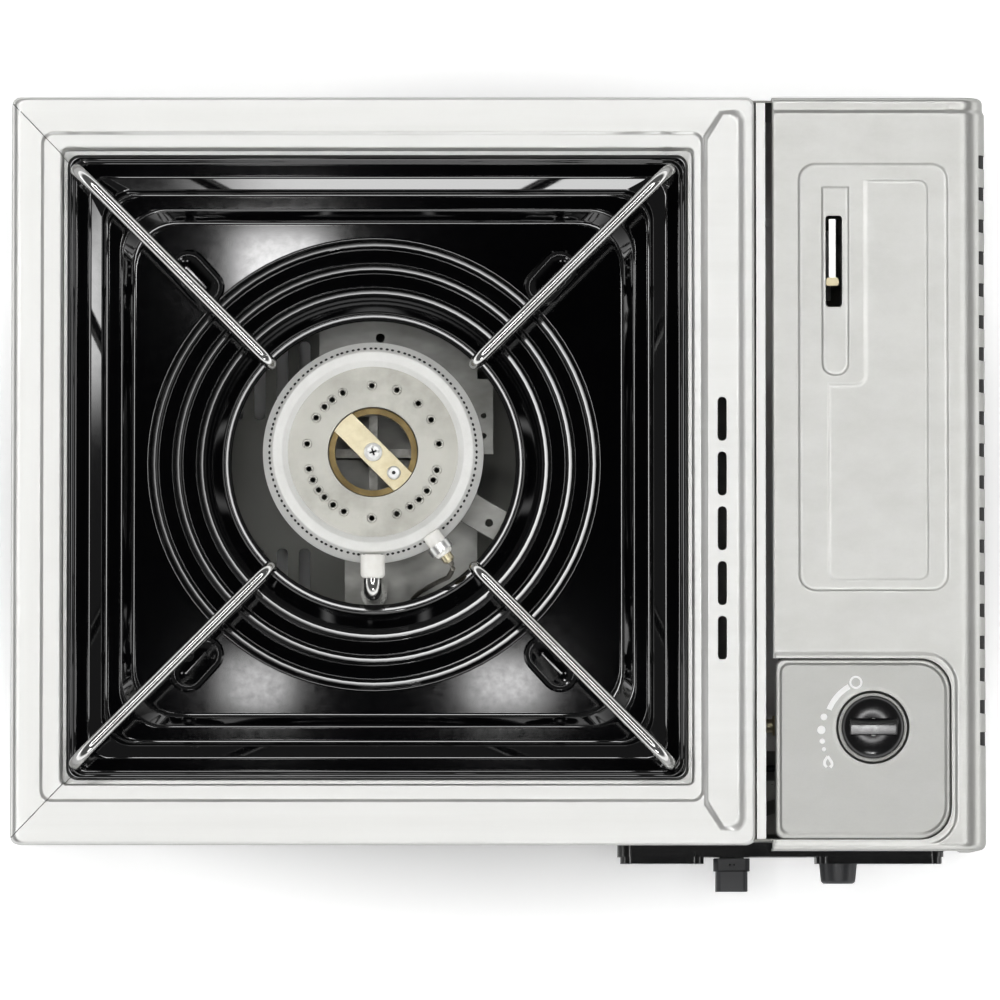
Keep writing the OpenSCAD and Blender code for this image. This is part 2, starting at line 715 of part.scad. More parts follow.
module partition() {
    color(STEEL) difference() {
        union() {
            slab(partition_x, partition_x + sheet, tray_y0 + sheet, tray_y1 - sheet, floor_z, partition_top);
            // top fold, seen as a light strip
            slab(deck_right_x + clearance, partition_x + sheet + 0.6, tray_y0 + sheet, tray_y1 - sheet,
                partition_top - sheet, partition_top);
            // foot
            slab(partition_x, partition_x + 8, piezo_y1 + 8, tray_y1 - sheet, floor_z, floor_z + sheet);
        }
        for (p = flange_screw_places)
            rod([p[0], p[1], floor_z - 1], foot_screw_r + 0.1, sheet + 2);
        // way for the cam plate and the lead
        slab(partition_x - 3, partition_x + 8, tray_y0, piezo_y1 + 6, floor_z - 1, lever_z + 9);
        rod([partition_x - 3, jet_y, tube_z], tube_r - 2, 12, [0, 90, 0]);
    }
}

// ---- Drip pan and its supports ----

wall_end = rim_w + wall_run;
slope_start = wall_end + step_w;
slope_end = slope_start + slope_run;
pan_depth = 3;

// One rounded level of the pan, inset from its edge
module pan_level(inset, z, t, r) {
    translate([0, 0, z]) linear_extrude(t)
        polygon(rounded(pan_x0 + inset, pan_x1 - inset, pan_y0 + inset, pan_y1 - inset, r, 5));
}

// Everything under the pan's upper surface; the sheet is this less a copy set lower
module pan_body(grow) {
    low = pan_floor - pan_depth - 2 * grow;
    difference() {
        union() {
            difference() {
                pan_level(-grow, low, rim_top - low, 4 + grow);
                hull() {
                    pan_level(rim_w, rim_top, 5, 8);
                    pan_level(wall_end, step_top, 0.01, 10);
                }
                hull() {
                    pan_level(slope_start, step_top, 0.1, 12);
                    pan_level(slope_end, pan_floor, 0.01, 14);
                }
            }
            translate([pan_x, pan_y, pan_floor]) rotate_extrude() polygon([
                [hole_r - 1, low - pan_floor], [ring_r, low - pan_floor], [ring_r, 0],
                [ring_r - 2, ring_h], [ring_r - 4, ring_h], [ring_r - ring_pitch, 0.2],
                [ring_r - ring_pitch - 2, ring_h], [ring_r - ring_pitch - 4, ring_h],
                [ring_r - 2 * ring_pitch, 0.4], [hole_r + 3.4, lip_h], [hole_r + 1, lip_h],
                [hole_r - 1, lip_h - 1.6]
            ]);
            // raised pads with sloping sides
            for (k = [0 : 3]) translate([pan_x, pan_y - support_shift_y, pan_floor - 0.1])
                rotate([0, 0, 45 + 90 * k]) translate([pad_dist, 0, 0])
                    linear_extrude(pad_h + 0.1, scale = [1 - 4 / pad_l, 1 - 4 / pad_w], slices = 1)
                        polygon(rounded(-pad_l / 2, pad_l / 2, -pad_w / 2, pad_w / 2, pad_w / 2 - 0.1));
        }
        rod([pan_x, pan_y, low - 1], hole_r - 0.5 * grow, rim_top - low + 9);
    }
}

module drip_pan() {
    color(ENAMEL) difference() {
        pan_body(0);
        translate([0, 0, -pan_sheet]) pan_body(1);
    }
}

module pan_support(k) {
    color(DARK_STEEL) translate([pan_x, pan_y - support_shift_y, 0]) rotate([0, 0, 45 + 90 * k]) wire([
        [pad_dist, pan_floor + pad_h], [pad_dist, support_z - support_drop],
        [support_in + wire_r, support_z - support_drop], [support_in + wire_r, support_z],
        [support_out, support_z], [support_out, rim_top]
    ], wire_r, [0, wire_bend, wire_bend, wire_bend, 2 * wire_bend, 0]);
}

module pan_support_1() { pan_support(0); }
module pan_support_2() { pan_support(1); }
module pan_support_3() { pan_support(2); }
module pan_support_4() { pan_support(3); }

// ---- Burner ----

module burner_bridge() {
    color(STEEL) difference() {
        union() {
            slab(bridge_x0, bridge_x1, bridge_y0, bridge_y1, bridge_z, bridge_top);
            // side tab with two holes
            slab(bridge_x1 - 1, bridge_x1 + 5.6, burner_y + 1.5, burner_y + 28, bridge_z, bridge_top);
            for (end = [[bridge_y0, -1], [bridge_y1, 1]]) {
                y = end[1] > 0 ? end[0] - bridge_t : end[0];
                slab(bridge_x0, bridge_x1, y, y + bridge_t, floor_z, bridge_top);
                foot_y = end[1] > 0 ? end[0] - bridge_t : end[0] - bridge_foot;
                slab(bridge_x0, bridge_x1, foot_y, foot_y + bridge_foot + bridge_t, floor_z, floor_z + bridge_t);
            }
        }
        // the front left corner is cut back, and the front leg is open for the mixing tube
        slab(bridge_x0 - 1, burner_x - 10.5, bridge_y0 - bridge_foot - 1, riser_y - 4, floor_z - 1,
            bridge_top + 1);
        slab(burner_x - 11, burner_x + tube_r + 1, bridge_y0 - 1, bridge_y0 + bridge_t + 1,
            floor_z + 7, bridge_z);
        rod([burner_x, riser_y, bridge_z - 1], tube_r + 0.6, bridge_t + 2);
        rod([burner_x + 2, bridge_y1 - 7.5, bridge_z - 1], 1.6, bridge_t + 2);
        for (y = [8, 15]) rod([bridge_x1 + 2.2, burner_y + y, bridge_z - 1], 1, bridge_t + 2);
        for (p = column_places) rod([p[0], p[1], bridge_z - 1], 1.6, bridge_t + 2);
        for (p = flange_screw_places) rod([p[0], p[1], floor_z - 1], foot_screw_r + 0.1, bridge_t + 2);
    }
}

column_r = 4;
column_screw_r = 1.5;
module bridge_screws() {
    color(ALLOY) for (p = column_places) translate([p[0], p[1], bridge_z]) rotate([180, 0, 0])
        pan_screw(column_screw_r, 8, 3, 1.8);
}

module burner_body() {
    color(ALLOY) translate([burner_x, burner_y, 0]) {
        difference() {
            union() {
                rotate_extrude() polygon([
                    [core_hole_r, chamber_z], [chamber_r - 4, chamber_z], [chamber_r, chamber_z + 4],
                    [chamber_r, ring_seat], [chamber_r - chamber_wall, ring_seat],
                    [chamber_r - chamber_wall, chamber_z + chamber_wall],
                    [core_r, chamber_z + chamber_wall], [core_r, cap_low], [core_hole_r, cap_low]
                ]);
                for (p = column_places) rod([p[0] - burner_x, p[1] - burner_y, bridge_top], column_r,
                    chamber_z - bridge_top + 1);
                rod([0, -riser_r, chamber_z], tube_r, 1);
                // ledge for the brass ring, with two ribs and a hub for the strap screw
                pipe(core_hole_r + 0.5, inner_ring_r - 2.2, inner_ring_z - 2, inner_ring_z);
                slab(-core_hole_r - 0.5, core_hole_r + 0.5, -1.5, 1.5, chamber_z + 2, inner_ring_z - 2);
                slab(-1.5, 1.5, -core_hole_r - 0.5, core_hole_r + 0.5, chamber_z + 2, inner_ring_z - 2);
                rod([0, 0, chamber_z], 4.5, strap_z - chamber_z);
            }
            rod([0, -riser_r, chamber_z - 1], tube_r - tube_wall, chamber_wall + 2);
            rod([0, 0, strap_z - 10], strap_screw_r + 0.05, 11);
            for (p = column_places) rod([p[0] - burner_x, p[1] - burner_y, bridge_top - 1],
                column_screw_r + 0.05, 8);
        }
    }
}

module mixing_tube() {
    turn_x = burner_x + tube_bend;
    rise_y = riser_y - tube_rise_bend;
    color(ALLOY) {
        translate([turn_x, jet_y, tube_z]) rotate([0, 90, 0])
            linear_extrude(partition_x - turn_x) tube_section();
        translate([turn_x, jet_y + tube_bend, tube_z]) rotate([0, 0, 180])
            rotate_extrude(angle = 90) translate([tube_bend, 0]) tube_section();
        translate([burner_x, rise_y, tube_z]) rotate([90, 0, 0])
            linear_extrude(rise_y - jet_y - tube_bend) tube_section();
        translate([burner_x, rise_y, tube_z + tube_rise_bend]) rotate([90, 0, 90])
            rotate([0, 0, -90]) rotate_extrude(angle = 90) translate([tube_rise_bend, 0]) tube_section();
        translate([burner_x, riser_y, tube_z + tube_rise_bend])
            linear_extrude(chamber_z - tube_z - tube_rise_bend) tube_section();
        // flange on the partition
        translate([partition_x - 1.2, jet_y, tube_z]) rotate([0, 90, 0])
            linear_extrude(1.2) difference() {
                circle(tube_r + 4);
                circle(tube_r - 0.5);
            }
    }
}

module tube_section() {
    difference() {
        circle(tube_r);
        circle(tube_r - tube_wall);
    }
}

module burner_port_ring() {
    color(STEEL) translate([burner_x, burner_y, 0]) rotate_extrude() polygon([
        [chamber_r - chamber_wall, ring_seat], [burner_r, ring_seat], [burner_r, burner_top - 6.5],
        [ring_out_r + 0.6, burner_top - 1.8], [ring_out_r, burner_top - 0.6],
        [ring_out_r - 0.6, burner_top], [ring_in_r + 0.6, burner_top], [ring_in_r, burner_top - 0.6],
        [ring_in_r, cap_low], [ring_in_r - 1.6, cap_low], [ring_in_r - 1.6, cap_low - 1.6],
        [chamber_r - chamber_wall, ring_seat + 4]
    ]);
}

module burner_cap_plate() {
    color(STEEL) translate([burner_x, burner_y, cap_low]) linear_extrude(cap_t) difference() {
        circle(ring_in_r - 0.2);
        circle(cap_hole_r);
        for (a = port_angles) rotate(a) translate([port_circle_r, 0]) circle(port_r);
    }
}

module burner_inner_ring() {
    color(BRASS) translate([burner_x, burner_y, 0])
        pipe(inner_ring_r, inner_ring_r - 2.1, inner_ring_z, inner_ring_z + inner_ring_h);
}

module burner_strap() {
    color(BRASS) translate([burner_x, burner_y, strap_z]) rotate([0, 0, -45])
        linear_extrude(strap_t) difference() {
            intersection() {
                square([2 * core_r, strap_w], center = true);
                circle(inner_ring_r);
            }
            circle(strap_screw_r + 0.1);
            translate([rivet_off, 0]) circle(rivet_r + 0.05);
        }
}

module strap_screw() {
    color(ALLOY) translate([burner_x, burner_y, strap_z + strap_t]) difference() {
        pan_screw(strap_screw_r, 9, 3.2, 2);
        for (a = [0, 90]) rotate(a) slab(-2, 2, -0.35, 0.35, 1.1, 3);
    }
}

rivet_r = 1.2;
module strap_rivet() {
    color(ALLOY) translate([burner_x, burner_y, strap_z]) rotate([0, 0, -45])
        translate([rivet_off, 0, 0]) rotate_extrude() polygon([
            [0, -0.8], [1.9, -0.8], [1.9, 0], [rivet_r, 0], [rivet_r, strap_t],
            [2.4, strap_t], [2.4, strap_t + 0.4], [1.8, strap_t + 0.9], [0, strap_t + 0.9]
        ]);
}

// ---- Ignition ----

module igniter_ceramic() {
    color("white") translate([burner_x, igniter_y, igniter_z]) rotate([90, 0, 0]) rotate_extrude() polygon([
        [0, 0], [ceramic_r, 0], [ceramic_r, ceramic_l - 1], [ceramic_r - 1, ceramic_l], [0, ceramic_l]
    ]);
}

module igniter_tube() {
    y0 = igniter_y - ceramic_l;
    color(STEEL) translate([burner_x, y0, 0]) rotate([0, 0, -90]) wire([
        [0, igniter_z], [y0 - igniter_drop_y, igniter_z], [y0 - igniter_drop_y, igniter_low]
    ], igniter_tube_r, igniter_tube_r + 0.4);
}

module igniter_clamp() {
    color(DARK_STEEL) translate([burner_x, igniter_drop_y, 0]) {
        pipe(igniter_tube_r + 1.4, igniter_tube_r + 0.05, igniter_low, igniter_low + 5);
        difference() {
            slab(-1.5, 1.5, igniter_tube_r + 0.6, igniter_tube_r + 1.8, bridge_top, igniter_low + 5);
            rod([0, 0, bridge_top - 1], igniter_tube_r + 0.05, 20);
        }
    }
}

module sensor_frame() {
    translate([burner_x, burner_y, sensor_z]) rotate([0, 0, sensor_az]) rotate([0, 90, 0]) children();
}

module sensor_ceramic() {
    color("white") sensor_frame() translate([0, 0, sensor_in]) rotate_extrude() polygon([
        [0, 0], [sensor_r, 0], [sensor_r, sensor_l - 0.8], [sensor_r - 0.8, sensor_l], [0, sensor_l]
    ]);
}

module sensor_tip() {
    color(BRASS) sensor_frame() translate([0, 0, sensor_in + sensor_l]) rotate_extrude() polygon([
        [0, 0], [2.1, 0], [2.1, sensor_tip_l - 0.8], [1.3, sensor_tip_l], [0, sensor_tip_l]
    ]);
}

module sensor_bracket() {
    color(STEEL) {
        sensor_frame() pipe(sensor_r + 1.1, sensor_r + 0.05, sensor_post - 1.5, sensor_post + 1.5);
        translate([burner_x, burner_y, 0]) rotate([0, 0, sensor_az])
            slab(sensor_post - 1.5, sensor_post + 1.5, -0.6, 0.6, bridge_top, sensor_z - sensor_r - 0.6);
    }
}

heat_plate_at = [burner_x + 40, burner_y - 22];
module heat_plate() {
    color(STEEL) translate([heat_plate_at[0], heat_plate_at[1], 0]) rotate([0, 0, -30]) {
        difference() {
            slab(-8.5, 8.5, -5.5, 5.5, chamber_z - 3.2, chamber_z - 2);
            rod([1, -1, chamber_z - 4], 1.3, 4);
        }
        slab(-8.5, -7.3, -5.5, 5.5, bridge_top, chamber_z - 2);
    }
}

module igniter_lead() {
    color(BLACK) swept(igniter_route, lead_r);
}

module sensor_lead() {
    color(DARK_STEEL) swept(sensor_route, 0.9);
}

// ---- Regulator and knob ----

module regulator_body() {
    color(ALLOY) difference() {
        union() {
            rod([bay_x, regulator_y1, cartridge_z], regulator_r, regulator_l, [90, 0, 0]);
            rod([bay_x, inlet_y, cartridge_z], inlet_r + 3.4, inlet_boss_l + 1, [90, 0, 0]);
            rod([knob_x, knob_y, cartridge_z], chest_r, chest_top - cartridge_z);
            rod([jet_x, jet_y, tube_z], 5, bay_x - jet_x, [0, 90, 0]);
        }
        rod([bay_x, inlet_y + 1, cartridge_z], inlet_r, inlet_depth + 1, [90, 0, 0]);
        rod([knob_x, knob_y, chest_top - 14], spindle_hole_r, 15);
    }
}

module regulator_bracket() {
    y = regulator_y0 - bracket_t;
    color(STEEL) difference() {
        union() {
            slab(bay_x - 17, bay_x + 17, y, regulator_y0, floor_z, cartridge_z + 14);
            // two feet; the right one is also held by the screw of the rubber foot
            slab(bay_x - 17, bay_x - carriage_w / 2 - 1.4, y - 9, regulator_y0, floor_z, floor_z + 1);
            slab(bay_x + carriage_w / 2 + 1.4, bay_x + 17, y - 12, regulator_y0, floor_z, floor_z + 1);
        }
        slab(bay_x - carriage_w / 2 - 1, bay_x + carriage_w / 2 + 1, y - 1, regulator_y0 + 1,
            floor_z - 1, strip_top + 1);
        for (p = concat(foot_places, flange_screw_places))
            rod([p[0], p[1], floor_z - 1], foot_screw_r + 0.1, 3);
    }
}

module gas_jet() {
    color(BRASS) translate([jet_x, jet_y, tube_z]) rotate([0, -90, 0]) difference() {
        union() {
            cylinder(r = 4, h = 2.4, $fn = 6);
            cylinder(r = 2.4, h = jet_x - partition_x - sheet - 1);
        }
        translate([0, 0, 1]) cylinder(r = 0.6, h = 10);
    }
}

module packing_nut() {
    color(BRASS) translate([knob_x, knob_y, chest_top]) difference() {
        cylinder(r = 7, h = 4, $fn = 6);
        translate([0, 0, -1]) cylinder(r = spindle_hole_r, h = 6);
    }
}

module valve_spindle() {
    color(ALLOY) rod([knob_x, knob_y, chest_top - 13.6], spindle_r, deck_z + knob_h - 3 - chest_top + 13.6);
}

module gas_knob() {
    low = well_top + clearance;
    top = deck_z + knob_h;
    color(BLACK) translate([knob_x, knob_y, 0]) difference() {
        union() {
            rotate_extrude() polygon([
                [0, low], [knob_r, low], [knob_r, low + 2.2], [knob_r - 0.5, low + 3.6],
                [knob_r - 1.6, low + 5], [knob_r - 3.4, low + 6], [0, low + 6.4]
            ]);
            // grip ridge
            intersection() {
                slab(-knob_r, knob_r, -2.4, 2.4, low + 3, top);
                rotate_extrude() polygon([
                    [0, low], [knob_r - 0.6, low], [knob_r - 0.6, top - 3.4], [knob_r - 2.6, top - 0.8],
                    [knob_r - 4, top], [0, top]
                ]);
            }
        }
        rod([0, 0, low - 1], spindle_hole_r, top - 3 - low + 1);
    }
}

module control_panel() {
    flange_low = deck_z - skirt_h;
    color(STEEL) difference() {
        union() {
            difference() {
                translate([0, 0, deck_z - 8]) linear_extrude(8)
                    polygon(right_rounded(panel_x0, panel_x1, panel_y0, panel_y1, 3, panel_r));
                translate([0, 0, deck_z - 9]) linear_extrude(9 - sheet)
                    polygon(right_rounded(panel_x0 + sheet, panel_x1 - sheet, panel_y0 + sheet,
                        panel_y1 - sheet, 2.2, panel_r - sheet));
            }
            // front flange on the tray's wall and side flange on the partition
            slab(panel_x0 + 6, panel_x1 - panel_r - 1, panel_y0, panel_y0 + sheet, flange_low, deck_z - 7);
            slab(panel_x0, panel_x0 + sheet, panel_y0 + 12, panel_y1 - 12, flange_low + 4, deck_z - 7);
            slab(partition_x + sheet, panel_x0 + sheet, panel_y0 + 12, panel_y1 - 12,
                flange_low + 4, flange_low + 4 + sheet);
            // floor of the round well
            rod([knob_x, knob_y, well_top - sheet], well_r + sheet, well_drop + sheet - 0.2);
        }
        rod([knob_x, knob_y, well_top], well_r, well_drop + 1);
        rod([knob_x, knob_y, well_top - sheet - 1], spindle_r + 1.2, 4);
    }
}

// ---- Front controls ----

// Plate that stands against the front wall, given by its outline in X and Z
module front_plate(x0, x1, z0, z1, y0, y1, r) {
    translate([0, y1, 0]) rotate([90, 0, 0]) linear_extrude(y1 - y0) polygon(rounded(x0, x1, z0, z1, r));
}

module front_bezel() {
    color(BLACK) difference() {
        union() {
            front_plate(bezel_x0, bezel_x1, bezel_z, bezel_z + bezel_h, bezel_y, tray_y0, bezel_corner);
            front_plate(bezel_x0 + 1, slot_x0 - 1, bezel_z + lip_inset, bezel_z + bezel_h - lip_inset,
                bezel_lip_y, bezel_y + 1, bezel_corner - 1);
            front_plate(slot_x1 + 2, bezel_x1 - 0.6, bezel_z + lip_inset, bezel_z + bezel_h - lip_inset,
                bezel_lip_y, bezel_y + 1, bezel_corner - 1);
        }
        slab(slot_x0 + 1, slot_x1 - 1, bezel_y - 1, tray_y0 + 1,
            lever_z - stem_h / 2 - clearance, lever_z + stem_h / 2 + clearance);
        rod([button_x, tray_y0 + 1, button_z], button_r + clearance, 20, [90, 0, 0]);
        for (p = bezel_screw_places)
            rod([p[0], tray_y0 + 1, p[1]], bezel_screw_r + 0.05, 5, [90, 0, 0]);
    }
}

module bezel_screws() {
    color(ALLOY) for (p = bezel_screw_places)
        translate([p[0], tray_y0 + sheet, p[1]]) rotate([-90, 0, 0]) pan_screw(bezel_screw_r, 4, 3, 1.8);
}

module lock_lever() {
    x1 = lever_x0 + lever_w;
    color(BLACK) {
        // stem through the bezel and the tray wall
        slab(lever_x0 + 2, x1 - 2, bezel_y - clearance, cam_y0 + 6,
            lever_z - stem_h / 2, lever_z + stem_h / 2);
        front_plate(lever_x0, x1, lever_z - lever_root_h / 2, lever_z + lever_root_h / 2,
            bezel_y - lever_root_t, bezel_y - clearance, 2);
        // paddle
        front_plate(lever_x0 + 0.8, x1 - 0.8, lever_z - paddle_low, lever_z + paddle_high,
            lever_tip_y, bezel_y - lever_root_t, 2);
    }
}

module cam_plate() {
    x0 = lever_x0 + 1;
    x1 = cam_slot_x + cam_pin_r + 3;
    rise = atan2(carriage_travel, lever_travel);
    run = norm([carriage_travel, lever_travel]);
    color(STEEL) difference() {
        slab(x0, x1, cam_y0, cam_y1, cam_z, cam_z + cam_t);
        translate([cam_slot_x, cam_slot_y, cam_z - 1]) rotate([0, 0, 180 + rise]) linear_extrude(cam_t + 2)
            polygon(rounded(-cam_pin_r - clearance, run + cam_pin_r + clearance,
                -cam_pin_r - clearance, cam_pin_r + clearance, cam_pin_r + clearance - 0.01));
    }
}

module cartridge_carriage() {
    color(STEEL) {
        slab(bay_x - carriage_w / 2, bay_x + carriage_w / 2, carriage_y0, carriage_y1, strip_z, strip_top);
        slab(cam_slot_x - 4, bay_x, cam_slot_y - 4, cam_slot_y + 4, strip_z, strip_top);
        rod([cam_slot_x, cam_slot_y, strip_z], cam_pin_r, cam_z + cam_t - 0.2 - strip_z);
        // push plate behind the cartridge
        slab(bay_x - 15, bay_x + 15, carriage_y1 - 1.2, carriage_y1, strip_z, cartridge_z);
        // ear for the spring
        slab(bay_x, spring_x + 3, spring_y0 - 1.2, spring_y0, strip_z, strip_top);
        slab(spring_x - 3, spring_x + 3, spring_y0 - 1.2, spring_y0, strip_z, spring_z + 2);
    }
}

guide_mid = 118;
guide_rear = 20.5;
guide_half = 3;
guide_places = [panel_y1 + 2, rear_y - guide_mid, rear_y - guide_rear];
module carriage_guides() {
    color(STEEL) {
        for (y = guide_places) difference() {
            slab(bay_x - carriage_w / 2 - guide_half, bay_x + carriage_w / 2 + guide_half,
                y - guide_half, y + guide_half, floor_z, strip_top + strip_t);
            slab(bay_x - carriage_w / 2 - clearance, bay_x + carriage_w / 2 + clearance,
                y - guide_half - 1, y + guide_half + 1,
                floor_z - 1, strip_top + clearance);
        }
        // post for the spring
        slab(spring_x - 3, spring_x + 3, spring_y0 + spring_l, spring_y0 + spring_l + 1.2,
            floor_z, spring_z + 2);
    }
}

module carriage_spring() {
    color(ALLOY) translate([spring_x, spring_y0, spring_z]) rotate([-90, 0, 0])
        coil(spring_r, spring_wire, spring_l, 16, 10);
}

saddle_front = 38;
saddle_rear = 36.5;
saddle_places = [panel_y1 + saddle_front, rear_y - saddle_rear];
module cradle_saddles() {
    half = 26;
    color(STEEL) for (y = saddle_places) difference() {
        union() {
            slab(bay_x - half, bay_x + half, y, y + 1.2, floor_z, floor_z + 13);
            slab(bay_x - half, bay_x + half, y, y + 9, floor_z, floor_z + sheet);
        }
        rod([bay_x, y + 10, cartridge_z], cartridge_r + 0.6, 12, [90, 0, 0]);
        slab(bay_x - carriage_w / 2 - 1, spring_x + 4, y - 1, y + 10, floor_z - 1, strip_top + 1.4);
    }
}

leaf_inset = 53;
leaf_back = 57;
leaf_x = right_x - leaf_inset;
leaf_y = rear_y - leaf_back;
module cradle_leaf() {
    color(STEEL) {
        slab(leaf_x - 1.6, leaf_x + 1.6, leaf_y - 9, leaf_y + 16, floor_z + 2.2, floor_z + 3);
        slab(leaf_x - 1.6, leaf_x + 1.6, leaf_y + 15, leaf_y + 16, floor_z, floor_z + 3);
        slab(leaf_x - 1.6, leaf_x + 1.6, leaf_y - 9, leaf_y - 8, floor_z, floor_z + 3);
    }
}

// ---- Igniter button ----

module igniter_button() {
    cup_r = button_r - 1.5;
    color(BLACK) translate([button_x, 0, button_z]) rotate([90, 0, 0]) {
        rotate_extrude() polygon([
            [plunger_r, -button_back_y], [plunger_r, -button_tip_y - 2],
            [cup_r, -button_tip_y - 2], [cup_r, -button_back_y], [button_r, -button_back_y],
            [button_r, -bezel_lip_y], [button_tip_r, -button_tip_y - 0.8],
            [button_tip_r - 0.8, -button_tip_y], [0, -button_tip_y], [0, -piezo_y0 - 5],
            [plunger_r, -piezo_y0 - 5]
        ]);
    }
}

module piezo_unit() {
    color("#2c3e6b") translate([button_x, 0, button_z]) rotate([90, 0, 0]) difference() {
        translate([0, 0, -piezo_y1]) cylinder(r = piezo_r, h = piezo_l);
        translate([0, 0, -piezo_y0 - 11]) cylinder(r = plunger_r + 0.3, h = 12);
    }
}

module piezo_bracket() {
    y = piezo_y1 - 2.4;
    color(STEEL) difference() {
        union() {
            slab(button_x - 7.5, button_x + 7.5, y, y + 1.2, button_z - 9, button_z + 7);
            // leg on the regulator bracket's foot
            slab(button_x - 7.5, button_x - 3.5, y, y + 1.2, floor_z + 1, button_z);
        }
        rod([button_x, y + 2, button_z], piezo_r + 0.05, 4, [90, 0, 0]);
    }
}

module button_spring() {
    color(ALLOY) translate([button_x, button_tip_y + 2.05, button_z]) rotate([-90, 0, 0])
        coil(4.1, 0.5, tray_y0 - button_tip_y - 2.1, 5, 14);
}

// ---- Lid ----

// Rounded top right edge of the lid's section, for points from the top round to the side
function shoulder(r, steps = 10) = [for (i = [0 : steps]) [
    right_x - shoulder_r + r * sin(90 * i / steps), deck_z - shoulder_r + r * cos(90 * i / steps)
]];

module lid_section(y0, y1, points) {
    translate([0, y1, 0]) rotate([90, 0, 0]) linear_extrude(y1 - y0) polygon(points);
}

lid_gap = 0.6;
field_left = 9.4;
field_right = 13.4;
field_front = 23.9;
field_rear = 23.5;
field_x0 = lid_left_x + field_left;
field_x1 = right_x - field_right;
field_y0 = panel_y1 + field_front;
field_y1 = rear_y - field_rear;
island_left = 10.9;
island_right = 6.3;
island_front = 3.5;
island_rear = 5.6;
inner_x0 = field_x0 + island_left;
inner_x1 = field_x1 - island_right;
inner_y0 = field_y0 + island_front;
inner_y1 = field_y1 - island_rear;
channel_left = 7.7;
channel_x0 = field_x0 + channel_left;
channel_w = 9.5;
channel_l = 68.3;
window_in = 4.5;
window_back = 57.5;
window_x = channel_x0 + window_in;
window_y = rear_y - window_back;
side_vent_first = 22.5;
side_vent_drop = 3;

module lid() {
    skirt = [[right_x, lid_wall_z], [right_x - 6, lid_wall_z], [right_x - 10, deck_z - skirt_h],
        [lid_left_x, deck_z - skirt_h], [lid_left_x, deck_z]];
    color(STEEL) difference() {
        union() {
            lid_section(lid_front_y, rear_y, concat(
                [[lid_left_x, deck_z]], shoulder(shoulder_r), [[right_x, lid_wall_z],
                [right_x - sheet, lid_wall_z]],
                [for (i = [10 : -1 : 0]) shoulder(shoulder_r - sheet)[i]], [[lid_left_x, deck_low]]));
            lid_section(lid_front_y, lid_front_y + sheet, concat(skirt, shoulder(shoulder_r)));
            lid_section(rear_y - sheet, rear_y, concat(skirt, shoulder(shoulder_r)));
            // turned-down left edge
            slab(lid_left_x, lid_left_x + sheet, panel_y1 + lid_gap, tray_y1 - sheet - lid_gap,
                deck_z - 8, deck_low);
            // underside of the sunken field
            plate(field_x0 - 1, field_x1 + 1, field_y0 - 1, field_y1 + 1, deck_low - emboss, deck_low + 0.1, 6);
            for (y = hinge_places) {
                rod([hinge_x, y + 0.2 + knuckle_l, hinge_z], knuckle_r, knuckle_l, [90, 0, 0]);
                slab(hinge_x, right_x - sheet + 0.1, y + 0.2, y + 0.2 + knuckle_l, hinge_z, hinge_z + knuckle_r);
            }
        }
        // window round the control panel
        translate([0, 0, deck_low - 12]) linear_extrude(sheet + 13)
            polygon(right_rounded(lid_left_x - 1, panel_x1 + lid_gap, panel_y0 - lid_gap,
                panel_y1 + lid_gap, 0.1, panel_r + lid_gap));
        // sunken field with a raised island, and a channel beside it
        difference() {
            plate(field_x0, field_x1, field_y0, field_y1, deck_z - emboss, deck_z + 1, 5.6);
            difference() {
                plate(inner_x0, inner_x1, inner_y0, inner_y1, deck_z - emboss - 1, deck_z + 2, 3);
                plate(channel_x0 - 6, channel_x0 + channel_w + 5, inner_y1 - channel_l - 5,
                    inner_y1 + 6, deck_z - emboss - 1, deck_z + 2, 5);
            }
        }
        plate(window_x - window_w / 2, window_x + window_w / 2, window_y - window_l / 2,
            window_y + window_l / 2, deck_low - 3, deck_z + 1, 1.4);
        for (i = [0 : side_vent_count - 1]) {
            y = rear_y - side_vent_first - i * side_vent_pitch;
            slab(right_x - sheet - 3, right_x + 1, y - side_vent_w / 2, y + side_vent_w / 2,
                deck_z - side_vent_drop - side_vent_h, deck_z - side_vent_drop);
        }
        for (y = hinge_places)
            rod([hinge_x, y + 1 + knuckle_l, hinge_z], hinge_pin_r + pin_fit, knuckle_l + 2, [90, 0, 0]);
    }
}

module hinge_brackets() {
    color(STEEL) for (y = hinge_places) difference() {
        union() {
            slab(tray_x1, tray_x1 + 1, y - 0.2 - knuckle_l, y - 0.2, foot_h + 1, hinge_z + knuckle_r);
            rod([hinge_x, y - 0.2, hinge_z], knuckle_r, knuckle_l, [90, 0, 0]);
        }
        rod([hinge_x, y + 1, hinge_z], hinge_pin_r + pin_fit, knuckle_l + 2, [90, 0, 0]);
    }
}

module hinge_pins() {
    color(ALLOY) for (y = hinge_places) translate([hinge_x, y, hinge_z]) rotate([90, 0, 0]) rotate_extrude()
        polygon([
            [0, -knuckle_l - 1.4], [hinge_pin_r + 0.8, -knuckle_l - 1.4], [hinge_pin_r + 0.8, -knuckle_l - 0.5],
            [hinge_pin_r, -knuckle_l - 0.5], [hinge_pin_r, knuckle_l + 0.5],
            [hinge_pin_r + 0.8, knuckle_l + 0.5], [hinge_pin_r + 0.8, knuckle_l + 1.4],
            [0, knuckle_l + 1.4]
        ]);
}

